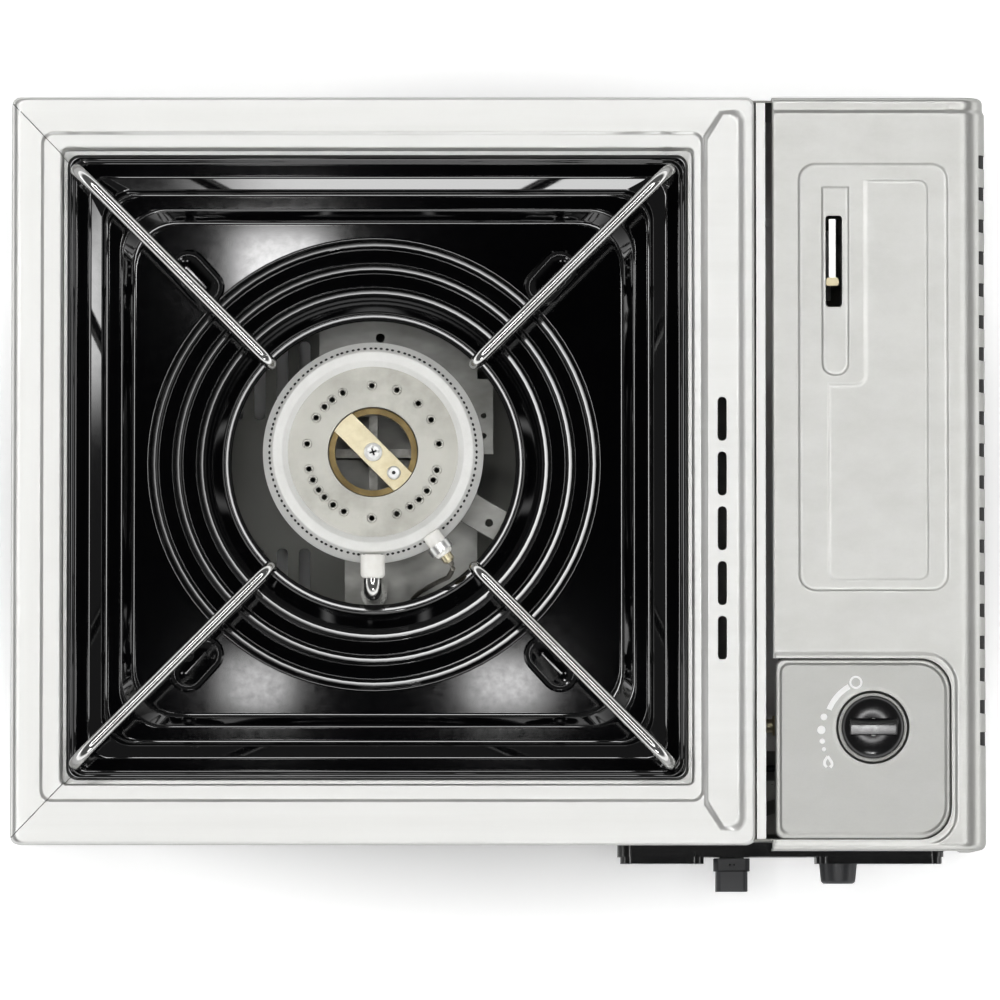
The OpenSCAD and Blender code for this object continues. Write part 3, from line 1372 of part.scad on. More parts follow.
base_tray();
feet();
floor_screws();
top_frame();
left_side_panel();
partition();
drip_pan();
pan_support_1();
pan_support_2();
pan_support_3();
pan_support_4();
burner_bridge();
bridge_screws();
burner_body();
mixing_tube();
burner_port_ring();
burner_cap_plate();
burner_inner_ring();
burner_strap();
strap_screw();
strap_rivet();
igniter_ceramic();
igniter_tube();
igniter_clamp();
sensor_ceramic();
sensor_tip();
sensor_bracket();
heat_plate();
igniter_lead();
sensor_lead();
regulator_body();
regulator_bracket();
gas_jet();
packing_nut();
valve_spindle();
gas_knob();
control_panel();
front_bezel();
bezel_screws();
lock_lever();
cam_plate();
cartridge_carriage();
carriage_guides();
carriage_spring();
cradle_saddles();
cradle_leaf();
igniter_button();
piezo_unit();
piezo_bracket();
button_spring();
lid();
hinge_brackets();
hinge_pins();
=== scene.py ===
"""Looks of a portable cassette stove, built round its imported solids.

Lengths are written in millimetres and become metres where a mesh is made.
"""

import logging
import math
from collections.abc import Callable, Iterable, Sequence
from dataclasses import dataclass
from enum import Enum

import bmesh
import bpy
from mathutils import Matrix, Vector


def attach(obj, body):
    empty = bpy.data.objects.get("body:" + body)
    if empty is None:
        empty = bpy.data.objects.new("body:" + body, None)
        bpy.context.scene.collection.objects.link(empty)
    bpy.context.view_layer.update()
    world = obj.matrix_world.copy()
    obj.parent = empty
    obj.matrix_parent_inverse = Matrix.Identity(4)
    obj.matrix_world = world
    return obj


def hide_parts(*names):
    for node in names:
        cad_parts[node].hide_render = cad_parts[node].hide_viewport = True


log = logging.getLogger("stove")
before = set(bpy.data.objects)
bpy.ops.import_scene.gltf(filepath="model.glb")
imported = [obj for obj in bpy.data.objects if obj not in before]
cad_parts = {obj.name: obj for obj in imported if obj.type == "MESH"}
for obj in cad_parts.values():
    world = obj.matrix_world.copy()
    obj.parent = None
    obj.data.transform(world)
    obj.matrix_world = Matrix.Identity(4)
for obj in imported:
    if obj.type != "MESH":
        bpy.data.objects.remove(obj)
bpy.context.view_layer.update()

MM = 0.001
# White, as a shader takes it
WHITE = (1.0, 1.0, 1.0, 1.0)
# Watts per square metre of a lamp's face for each step of its level
LAMP_POWER = 4.0
# Distance below which two places are the same, in metres
NEAR = 1e-6
# Steps on a corner arc and on a side of an oblong's loop
CORNER_STEPS = 10
SIDE_STEPS = 12
# Depth that a raised piece starts below the face it stands on, in millimetres
SUNK = 0.02
# Range that nearly all noise values lie in
NOISE_SPAN = (0.3, 0.7)
# Range of noise that a patch of the second colour grows in
PATCH_SPAN = (0.35, 0.7)
# Size of the slow waves of a glossy surface, in millimetres
WAVE_SIZE = (14.0, 14.0, 14.0)

Shape = bmesh.types.BMesh
Socket = bpy.types.NodeSocket
Tree = bpy.types.NodeTree
Spot = tuple[float, float]
Point3 = tuple[float, float, float]


class Body(Enum):
    """Rigid bodies that visible pieces ride on, by their names in the record."""

    STOVE = "stove"
    PAN = "pan"
    KNOB = "knob"
    LEVER = "lever"
    BUTTON = "button"
    COVER = "cover"


# ---- Materials ----


def linear(code: str) -> tuple[float, float, float, float]:
    """Turn an sRGB hex colour to the linear colour that a shader takes.

    Args:
        code: Colour such as "#c8c8c4".

    Returns:
        Red, green, blue and an alpha of 1.
    """
    parts = [int(code[i : i + 2], 16) / 255 for i in (1, 3, 5)]
    red, green, blue = (c / 12.92 if c <= 0.04045 else ((c + 0.055) / 1.055) ** 2.4 for c in parts)
    return red, green, blue, 1.0


def add_node(
    tree: Tree, kind: str, settings: dict | None = None, links: dict | None = None
) -> bpy.types.Node:
    """Add one shader node.

    Args:
        tree: Node tree that takes the node.
        kind: Blender's type name of the node.
        settings: Values of the node's attributes, or of its input sockets.
        links: Output sockets to join to the node's inputs, by input name or number.

    Returns:
        The new node.
    """
    node = tree.nodes.new(kind)
    for key, value in (settings or {}).items():
        if isinstance(key, str) and hasattr(node, key):
            setattr(node, key, value)
        else:
            node.inputs[key].default_value = value
    for key, source in (links or {}).items():
        tree.links.new(source, node.inputs[key])
    return node


def maths(tree: Tree, operation: str, *values: Socket | float) -> Socket:
    """Add a maths node.

    Args:
        tree: Node tree that takes the node.
        operation: Blender's name of the operation.
        values: Sockets or numbers that it works on, in order.

    Returns:
        The result.
    """
    numbers = {i: value for i, value in enumerate(values) if isinstance(value, float)}
    sockets = {i: value for i, value in enumerate(values) if not isinstance(value, float)}
    return add_node(tree, "ShaderNodeMath", {"operation": operation} | numbers, sockets).outputs[0]


def remap(tree: Tree, value: Socket, source: Spot, target: Spot, kind: str = "LINEAR") -> Socket:
    """Map a value from one range onto another.

    Args:
        tree: Node tree that takes the node.
        value: Socket that is mapped.
        source: Ends of the range that it comes from.
        target: What the two ends are mapped to.
        kind: Blender's name of the interpolation.

    Returns:
        The mapped value.
    """
    ends = {
        "From Min": source[0], "From Max": source[1], "To Min": target[0], "To Max": target[1],
    }
    node = add_node(tree, "ShaderNodeMapRange", {"interpolation_type": kind} | ends, {"Value": value})
    return node.outputs["Result"]


def spots(tree: Tree, size: Sequence[float], detail: float = 3.0) -> Socket:
    """Add noise whose features have a given size along each axis.

    Args:
        tree: Node tree of the material.
        size: Size of a feature along X, Y and Z, in millimetres.
        detail: Octaves of finer noise.

    Returns:
        The noise value, around 0.5.
    """
    place = add_node(tree, "ShaderNodeTexCoord").outputs["Object"]
    scale = tuple(1 / (s * MM) for s in size)
    mapped = add_node(tree, "ShaderNodeMapping", {"Scale": scale}, {"Vector": place})
    noise = add_node(
        tree, "ShaderNodeTexNoise", {"Scale": 1.0, "Detail": detail, "Roughness": 0.6},
        {"Vector": mapped.outputs["Vector"]},
    )
    return noise.outputs["Fac"]


@dataclass(frozen=True)
class Finish:
    """A surface: what it is made of, how it was made, and how it looks.

    Attributes:
        name: Material name, in a maker's words.
        slot: Material slot of the record that it belongs to; not used.
        colour: sRGB hex colour.
        roughness: Middle of the roughness.
        metallic: 1 for bare metal.
        ior: Index of refraction, for what isn't metal.
        second: Colour of the darker patches.
        patches: Share of the darker patches, 0 for none.
        patch_size: Size of a patch along X, Y and Z, in millimetres.
        swing: How much the roughness varies.
        texture: Size of the fine texture along X, Y and Z, in millimetres.
        depth: Height of the fine texture, in millimetres.
        wave: Height of slow waves in the surface, in millimetres.
        turned: Middle in plan, in millimetres, of a painted two-winged sheen that stands in for the
            reflection of a turned face.
    """

    name: str
    slot: str
    colour: str
    roughness: float
    metallic: float = 0.0
    ior: float = 1.5
    second: str = "#000000"
    patches: float = 0.0
    patch_size: tuple[float, float, float] = (30.0, 30.0, 30.0)
    swing: float = 0.06
    texture: tuple[float, float, float] = (1.0, 1.0, 1.0)
    depth: float = 0.0
    wave: float = 0.0
    turned: Spot | None = None

    def material(self) -> bpy.types.Material:
        """Return the material, and build it on the first call."""
        found = bpy.data.materials.get(self.name)
        if found is not None:
            return found
        made = bpy.data.materials.new(self.name)
        made.use_nodes = True
        tree = made.node_tree
        shader = tree.nodes["Principled BSDF"]
        shader.inputs["Metallic"].default_value = self.metallic
        if self.metallic < 0.5:
            shader.inputs["IOR"].default_value = self.ior
        made.diffuse_color = linear(self.colour)
        self.colour_nodes(tree, shader)
        fine = spots(tree, self.texture)
        limits = (self.roughness - self.swing, self.roughness + self.swing)
        rough = remap(tree, fine, NOISE_SPAN, limits)
        tree.links.new(rough, shader.inputs["Roughness"])
        self.relief_nodes(tree, shader, fine)
        return made

    def colour_nodes(self, tree: Tree, shader: bpy.types.Node) -> None:
        """Mix the two colours by slow noise, and where a middle is given, by a painted two-winged sheen
        too.
        """
        patch = spots(tree, self.patch_size, 4.0)
        share = remap(tree, patch, PATCH_SPAN, (0.0, self.patches))
        if self.turned is not None:
            share = maths(tree, "MULTIPLY", share, maths(tree, "MULTIPLY", self.painted_sheen(tree), 2.0))
        mix = add_node(
            tree, "ShaderNodeMix",
            {"data_type": "RGBA", 6: linear(self.colour), 7: linear(self.second)}, {0: share},
        )
        tree.links.new(mix.outputs[2], shader.inputs["Base Color"])

    def painted_sheen(self, tree: Tree) -> Socket:
        """Return a painted two-winged sheen, up to 1, by the angle about its middle, standing in for the
        reflection of a turned face.
        """
        place = add_node(tree, "ShaderNodeTexCoord").outputs["Object"]
        middle = (self.turned[0] * MM, self.turned[1] * MM, 0.0)
        arm = add_node(tree, "ShaderNodeVectorMath", {"operation": "SUBTRACT", 1: middle}, {0: place})
        angle = add_node(
            tree, "ShaderNodeTexGradient", {"gradient_type": "RADIAL"}, {"Vector": arm.outputs["Vector"]}
        )
        wings = 2.0
        start = -0.8
        turns = maths(tree, "MULTIPLY_ADD", angle.outputs["Fac"], wings * math.tau, start)
        return remap(tree, maths(tree, "SINE", turns), (-1.0, 1.0), (0.25, 1.0))

    def relief_nodes(self, tree: Tree, shader: bpy.types.Node, fine: Socket) -> None:
        """Join the slow waves and the fine texture to the shader as bump."""
        layers = []
        if self.wave > 0:
            layers.append((self.wave, spots(tree, WAVE_SIZE, 1.0)))
        if self.depth > 0:
            layers.append((self.depth, fine))
        normal: dict[str, Socket] = {}
        for height, pattern in layers:
            bump = add_node(
                tree, "ShaderNodeBump", {"Distance": height * MM, "Strength": 1.0},
                {"Height": pattern} | normal,
            )
            normal = {"Normal": bump.outputs["Normal"]}
        if normal:
            tree.links.new(normal["Normal"], shader.inputs["Normal"])


# Stainless sheet, brushed: scratches along the bars draw highlights out across them
DECK_STEEL = Finish(
    "stainless_sheet_brushed", "deck_steel", "#d0d0ce", 0.40, 1.0, second="#c5c5c2", patches=0.4,
    patch_size=(160.0, 9.0, 20.0), texture=(30.0, 0.5, 0.5), depth=0.0012, swing=0.03,
)
# The same sheet with its grain across, on the left bar
SIDE_STEEL = Finish(
    "stainless_sheet_brushed_across", "deck_steel", "#d2d2d0", 0.40, 1.0, second="#c8c8c5", patches=0.4,
    patch_size=(9.0, 160.0, 20.0), texture=(0.5, 30.0, 0.5), depth=0.0012, swing=0.03,
)
# Stainless sheet, bead blasted after pressing: an even matt grey with a fine speckle
LID_STEEL = Finish(
    "stainless_sheet_satin", "deck_steel", "#bebebb", 0.40, 1.0, second="#b3b3af", patches=0.6,
    patch_size=(14.0, 9.0, 14.0), texture=(0.9, 0.6, 0.9), depth=0.006, swing=0.05,
)
# The same satin sheet on the control panel, in a darker grey
PANEL_STEEL = Finish(
    "stainless_panel_satin", "deck_steel", "#acaca9", 0.42, 1.0, second="#a3a39f", patches=0.5,
    patch_size=(18.0, 11.0, 14.0), texture=(0.9, 0.6, 0.9), depth=0.006, swing=0.05,
)
# Zinc plated sheet: greyer than stainless, with the cloudy patches of plating
ZINC_SHEET = Finish(
    "zinc_plated_sheet", "zinc_steel", "#a9a9a6", 0.36, 1.0, second="#77756f", patches=0.7,
    patch_size=(9.0, 22.0, 16.0), texture=(2.0, 0.6, 1.0), depth=0.006, swing=0.10,
)
# The same sheet in the tray, darkened as painted shade for the shadow under the deck, and more even
SHADED_TRAY_SHEET = Finish(
    "zinc_sheet_painted_shade", "zinc_steel", "#80807c", 0.38, 1.0, second="#6b6a66", patches=0.5,
    patch_size=(50.0, 50.0, 40.0), texture=(3.0, 3.0, 3.0), depth=0.002, swing=0.03,
)
# Bright rolled steel of the plates round the burner, with large dark patches that are painted shade
PLATE_STEEL = Finish(
    "rolled_steel_plate", "zinc_steel", "#b4b4b0", 0.3, 1.0, second="#5d5b56", patches=0.7,
    patch_size=(40.0, 22.0, 30.0), texture=(6.0, 2.0, 4.0), depth=0.001, swing=0.02,
)
# Vitreous enamel, fired on pressed steel: deep black, glass smooth, with the faint waves of its flow
ENAMEL = Finish(
    "vitreous_enamel_black", "black_enamel", "#020203", 0.05, ior=1.62, second="#050506", patches=0.5,
    texture=(3.0, 3.0, 3.0), swing=0.01, wave=0.003,
)
# Bright nickel chrome on drawn wire: almost a mirror
CHROME_WIRE = Finish(
    "chromed_wire", "support_wire", "#bcbcbb", 0.13, 1.0, second="#8b8984", patches=0.3,
    patch_size=(12.0, 12.0, 6.0), texture=(1.2, 1.2, 1.2), depth=0.004, swing=0.05,
)
# Pressed and bead blasted steel of the port ring: bright, with a sandy grain
RING_STEEL = Finish(
    "burner_ring_blasted", "burner_steel", "#e2e2df", 0.5, 0.3, second="#d2d2ce", patches=0.45,
    patch_size=(7.0, 7.0, 7.0), texture=(0.8, 0.8, 0.8), depth=0.05, swing=0.10,
)
# Flat ground steel of the cap: even grey, with a fine matt grain; its darker patches follow a painted
# two-winged sheen
CAP_STEEL = Finish(
    "burner_cap_ground", "burner_steel", "#b3b2ab", 0.38, 1.0, second="#85847c", patches=0.4,
    patch_size=(16.0, 16.0, 16.0), texture=(1.6, 0.4, 1.0), depth=0.004, swing=0.03, turned=(-43.7, 14.05),
)
# Polished tube of the igniter
POLISHED_TUBE = Finish(
    "polished_steel_tube", "burner_steel", "#c4c4c2", 0.14, 1.0, second="#77756f", patches=0.4,
    patch_size=(5.0, 5.0, 5.0), texture=(0.6, 0.6, 4.0), depth=0.003,
)
# Polished strip under the window of the lid
POLISHED_LEAF = Finish(
    "polished_steel_strip", "deck_steel", "#f4f4f2", 0.35, 1.0, second="#e6e6e3", patches=0.4,
    patch_size=(6.0, 6.0, 6.0), texture=(0.4, 3.0, 0.4), depth=0.002,
)
# Pressure cast aluminium: dull grey, with a granular skin, darkened by heat
CAST_ALLOY = Finish(
    "cast_aluminium", "cast_alloy", "#8c8b87", 0.55, 1.0, second="#55534e", patches=0.7,
    patch_size=(8.0, 8.0, 8.0), texture=(1.1, 1.1, 1.1), depth=0.06, swing=0.10,
)
# Rolled brass: pale yellow, brushed, warmed brown in places by the flame
BRASS = Finish(
    "rolled_brass", "brass", "#d6cdb0", 0.38, 1.0, second="#ad9f7c", patches=0.55,
    patch_size=(7.0, 7.0, 5.0), texture=(2.0, 0.5, 1.0), depth=0.002,
)
# Brass browned by the heat inside the burner
BROWNED_BRASS = Finish(
    "heat_browned_brass", "brass", "#84734f", 0.36, 1.0, second="#4c3f28", patches=0.8,
    patch_size=(9.0, 9.0, 5.0), texture=(1.5, 1.5, 1.0), depth=0.004,
)
# Zinc plated screws and pins
SCREW_STEEL = Finish(
    "plated_screw", "screw_steel", "#e4e4e2", 0.36, 1.0, second="#c2c2bf", patches=0.5,
    patch_size=(2.0, 2.0, 2.0), texture=(0.9, 0.9, 0.9), depth=0.002,
)
# Hard drawn spring wire
SPRING_WIRE = Finish(
    "drawn_spring_wire", "spring_steel", "#b9b9b7", 0.22, 1.0, second="#7d7c78", patches=0.5,
    patch_size=(3.0, 3.0, 3.0), texture=(0.5, 0.5, 0.5), depth=0.003,
)
# Unglazed alumina: clean white, slightly waxy
ALUMINA = Finish(
    "alumina_ceramic", "white_ceramic", "#f6f5f0", 0.42, ior=1.6, second="#e2dfd6", patches=0.4,
    patch_size=(4.0, 4.0, 4.0), texture=(0.5, 0.5, 0.5), depth=0.01,
)
# Gloss moulded ABS: black
GLOSS_ABS = Finish(
    "abs_gloss_black", "black_gloss", "#050506", 0.18, ior=1.53, second="#0b0b0c", patches=0.5,
    texture=(2.0, 2.0, 2.0), swing=0.03,
)
# Spark eroded ABS: charcoal, with a fine grain that blurs its highlights
GRAINED_ABS = Finish(
    "abs_grained_charcoal", "black_matte", "#232427", 0.42, ior=1.53, second="#1b1c1e", patches=0.5,
    texture=(0.45, 0.45, 0.45), depth=0.02, swing=0.06,
)
# Blue moulded case of the spark unit
PIEZO_CASE = Finish(
    "nylon_dark_blue", "piezo_plastic", "#26365c", 0.4, ior=1.53, second="#1c2947", patches=0.5,
    texture=(0.6, 0.6, 0.6), depth=0.01,
)
# Silicone sleeve of the spark lead
LEAD_SLEEVE = Finish(
    "silicone_sleeve", "lead_rubber", "#1d1d1e", 0.5, ior=1.43, second="#2b2a29", patches=0.4,
    texture=(0.8, 0.8, 0.8), depth=0.01,
)
# Bare thermocouple wire in a heat proof sleeve
SENSOR_SLEEVE = Finish(
    "glass_fibre_sleeve", "sensor_wire", "#8f8c84", 0.35, 0.8, second="#4d4a44", patches=0.6,
    patch_size=(2.0, 2.0, 2.0), texture=(0.4, 0.4, 0.4), depth=0.02,
)
# Moulded rubber of the feet
FOOT_RUBBER = Finish(
    "moulded_rubber", "foot_rubber", "#1c1c1c", 0.7, ior=1.5, second="#262626", patches=0.5,
    texture=(0.7, 0.7, 0.7), depth=0.02,
)
# Screen printed white ink of the dial marks
WHITE_INK = Finish(
    "printed_white_ink", "deck_steel", "#fefefd", 0.5, ior=1.5, second="#f8f8f6", patches=0.3,
    texture=(0.4, 0.4, 0.4), depth=0.004,
)
# Painted shade: near-black that stands in for the shade inside drilled ports and recesses and behind the
# lid's side vents
PAINTED_SHADE = Finish(
    "painted_shade_black", "burner_steel", "#141312", 0.7, ior=1.5, second="#0a0a09", patches=0.5,
    texture=(0.3, 0.3, 0.3),
)

# Finish of each CAD node
NODE_FINISHES: dict[str, Finish] = {
    node: finish
    for finish, nodes in (
        (SHADED_TRAY_SHEET, "base_tray"),
        (FOOT_RUBBER, "feet"),
        (SCREW_STEEL, "floor_screws bridge_screws strap_screw strap_rivet sensor_bracket bezel_screws"),
        (SCREW_STEEL, "valve_spindle hinge_pins cradle_leaf"),
        (SIDE_STEEL, "partition left_side_panel"),
        (PLATE_STEEL, "burner_bridge heat_plate"),
        (CAST_ALLOY, "burner_body mixing_tube regulator_body"),
        (CAP_STEEL, "burner_cap_plate"),
        (RING_STEEL, "burner_port_ring"),
        (BROWNED_BRASS, "burner_inner_ring"),
        (BRASS, "burner_strap sensor_tip gas_jet packing_nut"),
        (ALUMINA, "igniter_ceramic sensor_ceramic"),
        (POLISHED_TUBE, "igniter_tube"),
        (ZINC_SHEET, "igniter_clamp regulator_bracket cam_plate cartridge_carriage carriage_guides"),
        (ZINC_SHEET, "cradle_saddles piezo_bracket hinge_brackets"),
        (LEAD_SLEEVE, "igniter_lead"),
        (SENSOR_SLEEVE, "sensor_lead"),
        (PANEL_STEEL, "control_panel"),
        (GLOSS_ABS, "front_bezel gas_knob"),
        (GRAINED_ABS, "lock_lever igniter_button"),
        (SPRING_WIRE, "carriage_spring button_spring"),
        (PIEZO_CASE, "piezo_unit"),
        (LID_STEEL, "lid"),
        (DECK_STEEL, "top_frame"),
        (ENAMEL, "drip_pan"),
        (CHROME_WIRE, "pan_support_1 pan_support_2 pan_support_3 pan_support_4"),
    )
    for node in nodes.split()
}


# ---- Making meshes ----


def sort_parts(shape: Shape) -> None:
    """Put a shape's vertices, edges and faces in an order that is the same on each run."""

    def rank(parts: Sequence, key: Callable) -> None:
        for place, part in enumerate(sorted(parts, key=key)):
            part.index = place
        parts.sort()

    rank(shape.verts, lambda vert: tuple(round(c / NEAR) for c in vert.co))
    for parts in (shape.edges, shape.faces):
        rank(parts, lambda part: sorted(vert.index for vert in part.verts))


def as_mesh(name: str, shape: Shape) -> bpy.types.Mesh:
    """Turn a shape to a mesh; the shape is freed."""
    sort_parts(shape)
    mesh = bpy.data.meshes.new(name)
    shape.to_mesh(mesh)
    shape.free()
    return mesh


def add_object(name: str, data: bpy.types.ID) -> bpy.types.Object:
    """Put an object with its data in the scene, and return it."""
    made = bpy.data.objects.new(name, data)
    bpy.context.scene.collection.objects.link(made)
    return made


def publish(
    name: str,
    shape: Shape,
    finish: Finish,
    body: Body,
    replaces: Sequence[str] = (),
    crease: float = 35.0,
    sheet: float = 0.0,
) -> bpy.types.Object:
    """Turn a shape to a finished piece that rides on its body.

    Args:
        name: Name of the piece.
        shape: Mesh in metres, in place; it is freed.
        finish: Surface of the piece.
        body: Body that the piece moves with.
        replaces: CAD nodes that the piece stands for.
        crease: Angle above which an edge stays sharp, in degrees.
        sheet: Thickness given inwards to an open sheet, in millimetres.

    Returns:
        The new object.
    """
    piece = add_object(name, as_mesh(name, shape))
    if sheet > 0:
        wall = piece.modifiers.new("sheet", "SOLIDIFY")
        wall.thickness = sheet * MM
        wall.offset = -1.0
        bake(piece)
    soften_shading(piece, crease)
    piece.data.materials.clear()
    piece.data.materials.append(finish.material())
    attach(piece, body.value)
    if replaces:
        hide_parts(*replaces)
    log.info("%s: %d faces", name, len(piece.data.polygons))
    return piece


def soften_shading(piece: bpy.types.Object, crease: float = 35.0) -> None:
    """Shade a piece smooth up to the crease angle, with its large faces kept flat."""
    piece.data.polygons.foreach_set("use_smooth", [True] * len(piece.data.polygons))
    piece.data.set_sharp_from_angle(angle=math.radians(crease))
    even = piece.modifiers.new("even", "WEIGHTED_NORMAL")
    even.keep_sharp = True
    even.weight = 80
    bake(piece)


def bake(piece: bpy.types.Object) -> None:
    """Apply a piece's modifiers to its mesh."""
    bpy.context.view_layer.update()
    graph = bpy.context.evaluated_depsgraph_get()
    done = bpy.data.meshes.new_from_object(piece.evaluated_get(graph), depsgraph=graph)
    piece.modifiers.clear()
    piece.data = done


def cut(piece: bpy.types.Object, cutter: Shape) -> None:
    """Cut a closed shape out of a piece; the shape is freed."""
    tool = add_object("cutter", as_mesh("cutter", cutter))
    step = piece.modifiers.new("cut", "BOOLEAN")
    step.operation = "DIFFERENCE"
    step.solver = "MANIFOLD"
    step.object = tool
    bake(piece)
    soften_shading(piece)
    bpy.data.objects.remove(tool)


def joined(shapes: Iterable[Shape]) -> Shape:
    """Join several shapes to one; the parts are freed."""
    whole = bmesh.new()
    for shape in shapes:
        mesh = as_mesh("part", shape)
        whole.from_mesh(mesh)
        bpy.data.meshes.remove(mesh)
    return whole


def moved(shape: Shape, place: Matrix) -> Shape:
    """Move a shape by a matrix in metres, and return it."""
    bmesh.ops.transform(shape, matrix=place, verts=shape.verts)
    return shape


def at(x: float, y: float, z: float, turn: float = 0.0) -> Matrix:
    """Return the matrix of a place in millimetres and a turn about Z in degrees."""
    return Matrix.Translation(Vector((x, y, z)) * MM) @ Matrix.Rotation(math.radians(turn), 4, "Z")


def polar(radius: float, degrees: float, centre: Spot = (0.0, 0.0)) -> Spot:
    """Return the point at a radius and an angle about a centre."""
    a = math.radians(degrees)
    return centre[0] + radius * math.cos(a), centre[1] + radius * math.sin(a)


def smooth(t: float) -> float:
    """Ease a share from 0 to 1, level at both ends."""
    return t * t * (3 - 2 * t)


def placed(section: Iterable[Spot], x: float, z: float) -> list[Spot]:
    """Return the points of a section, moved along both axes."""
    return [(x + dx, z + dz) for dx, dz in section]


def round_edges(shape: Shape, width: float, segments: int, limit: float) -> None:
    """Round the edges of a shape.

    Args:
        shape: Shape that is changed.
        width: Width of the rounding, in millimetres.
        segments: Faces across the rounding.
        limit: Angle between faces above which an edge is rounded, in degrees.
    """
    edges = [
        e for e in shape.edges
        if len(e.link_faces) == 2 and e.calc_face_angle(0.0) > math.radians(limit)
    ]
    bmesh.ops.bevel(
        shape, geom=edges, offset=width * MM, offset_type="OFFSET", segments=segments,
        profile=0.5, affect="EDGES", clamp_overlap=True, material=-1,
    )


def softened(node: str, width: float, segments: int = 2, limit: float = 40.0) -> Shape:
    """Copy a CAD node's mesh and round its edges.

    Args:
        node: Name of the node.
        width: Width of the rounding, in millimetres.
        segments: Faces across the rounding.
        limit: Angle between faces above which an edge is rounded, in degrees.

    Returns:
        The rounded copy.
    """
    shape = bmesh.new()
    shape.from_mesh(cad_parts[node].data)
    bmesh.ops.remove_doubles(shape, verts=shape.verts, dist=0.001 * MM)
    bmesh.ops.dissolve_limit(
        shape, angle_limit=math.radians(0.5), verts=shape.verts, edges=shape.edges
    )
    round_edges(shape, width, segments, limit)
    return shape


def crown(node: str) -> Point3:
    """Return the middle of a CAD node in plan, and its top, in millimetres."""
    points = [vert.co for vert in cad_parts[node].data.vertices]
    x, y = ((min(p[i] for p in points) + max(p[i] for p in points)) / 2 / MM for i in (0, 1))
    return x, y, max(p.z for p in points) / MM


def lathe(profile: Sequence[Spot], steps: int = 96) -> Shape:
    """Spin a profile of radius and height about Z.

    Args:
        profile: Points of radius and height, in millimetres.
        steps: Faces round the axis.

    Returns:
        The spun shape, closed where the profile meets the axis or itself.
    """
    shape = bmesh.new()
    corners = [shape.verts.new((r * MM, 0.0, z * MM)) for r, z in profile]
    edges = [shape.edges.new(pair) for pair in zip(corners, corners[1:])]
    bmesh.ops.spin(
        shape, geom=corners + edges, cent=(0, 0, 0), axis=(0, 0, 1), dvec=(0, 0, 0),
        angle=math.tau, steps=steps, use_merge=True, use_duplicate=False,
    )
    bmesh.ops.remove_doubles(shape, verts=shape.verts, dist=0.002 * MM)
    bmesh.ops.recalc_face_normals(shape, faces=shape.faces)
    return shape


def eased(start: Spot, stop: Spot, steps: int = 6) -> list[Spot]:
    """Return the points after the start of an S-curve that is level at both ends."""
    (r0, z0), (r1, z1) = start, stop
    shares = [i / steps for i in range(1, steps + 1)]
    return [(r0 + (r1 - r0) * t, z0 + (z1 - z0) * smooth(t)) for t in shares]


@dataclass(frozen=True)
class Oblong:
    """A rectangle with rounded corners, in plan, in millimetres.

    Attributes:
        x0: Left side.
        x1: Right side.
        y0: Front side.
        y1: Rear side.
        r: Radius of the corners.
        left: Radius of the left corners, where it differs.
    """

    x0: float
    x1: float
    y0: float
    y1: float
    r: float
    left: float | None = None

    def inset(self, d: float, r: float | None = None) -> "Oblong":
        """Return the oblong d smaller on every side, with corners of radius r."""
        sides = (self.x0 + d, self.x1 - d, self.y0 + d, self.y1 - d)
        return Oblong(*sides, self.r if r is None else r, self.left)

    def toward(self, other: "Oblong", t: float) -> "Oblong":
        """Return the oblong a share t of the way to another."""
        pairs = zip((self.x0, self.x1, self.y0, self.y1, self.r),
                    (other.x0, other.x1, other.y0, other.y1, other.r))
        return Oblong(*(a + (b - a) * t for a, b in pairs))

    def corners(self, steps: int) -> list[list[Spot]]:
        """Return the points of the four corner arcs, counter-clockwise from the right rear one."""
        left = self.r if self.left is None else self.left
        arcs = (
            (self.x1 - self.r, self.y1 - self.r, 0, self.r),
            (self.x0 + left, self.y1 - left, 90, left),
            (self.x0 + left, self.y0 + left, 180, left),
            (self.x1 - self.r, self.y0 + self.r, 270, self.r),
        )
        return [
            [polar(r, a + 90 * i / steps, (x, y)) for i in range(steps + 1)] for x, y, a, r in arcs
        ]

    def outline(self, steps: int = 10) -> list[Spot]:
        """Return the corners of the outline, counter-clockwise."""
        return [point for arc in self.corners(steps) for point in arc]

    def loop(self, z: float) -> list[Vector]:
        """Return points round the oblong in metres, counter-clockwise from its right rear corner."""
        arcs = [[Vector((x, y, z)) * MM for x, y in arc] for arc in self.corners(CORNER_STEPS)]
        points = []
        for arc, after in zip(arcs, arcs[1:] + arcs[:1]):
            points += arc
            points += [arc[-1].lerp(after[0], i / SIDE_STEPS) for i in range(1, SIDE_STEPS)]
        return points

    def gap(self, x: float, y: float) -> float:
        """Return how far a point lies outside the oblong, negative inside it."""
        dx = abs(x - (self.x0 + self.x1) / 2) - (self.x1 - self.x0) / 2 + self.r
        dy = abs(y - (self.y0 + self.y1) / 2) - (self.y1 - self.y0) / 2 + self.r
        return math.hypot(max(dx, 0.0), max(dy, 0.0)) + min(max(dx, dy), 0.0) - self.r


def ring_loop(radius: float, z: float, count: int, centre: Spot) -> list[Vector]:
    """Return a circle's points, matched in number and start to an oblong's loop.

    Args:
        radius: Radius in millimetres.
        z: Height.
        count: Number of points.
        centre: Middle of the circle in plan.

    Returns:
        The points in metres, counter-clockwise.
    """
    step = 360.0 / count
    first = 45.0 - CORNER_STEPS / 2 * step
    points = [polar(radius, first + i * step, centre) for i in range(count)]
    return [Vector((x, y, z)) * MM for x, y in points]


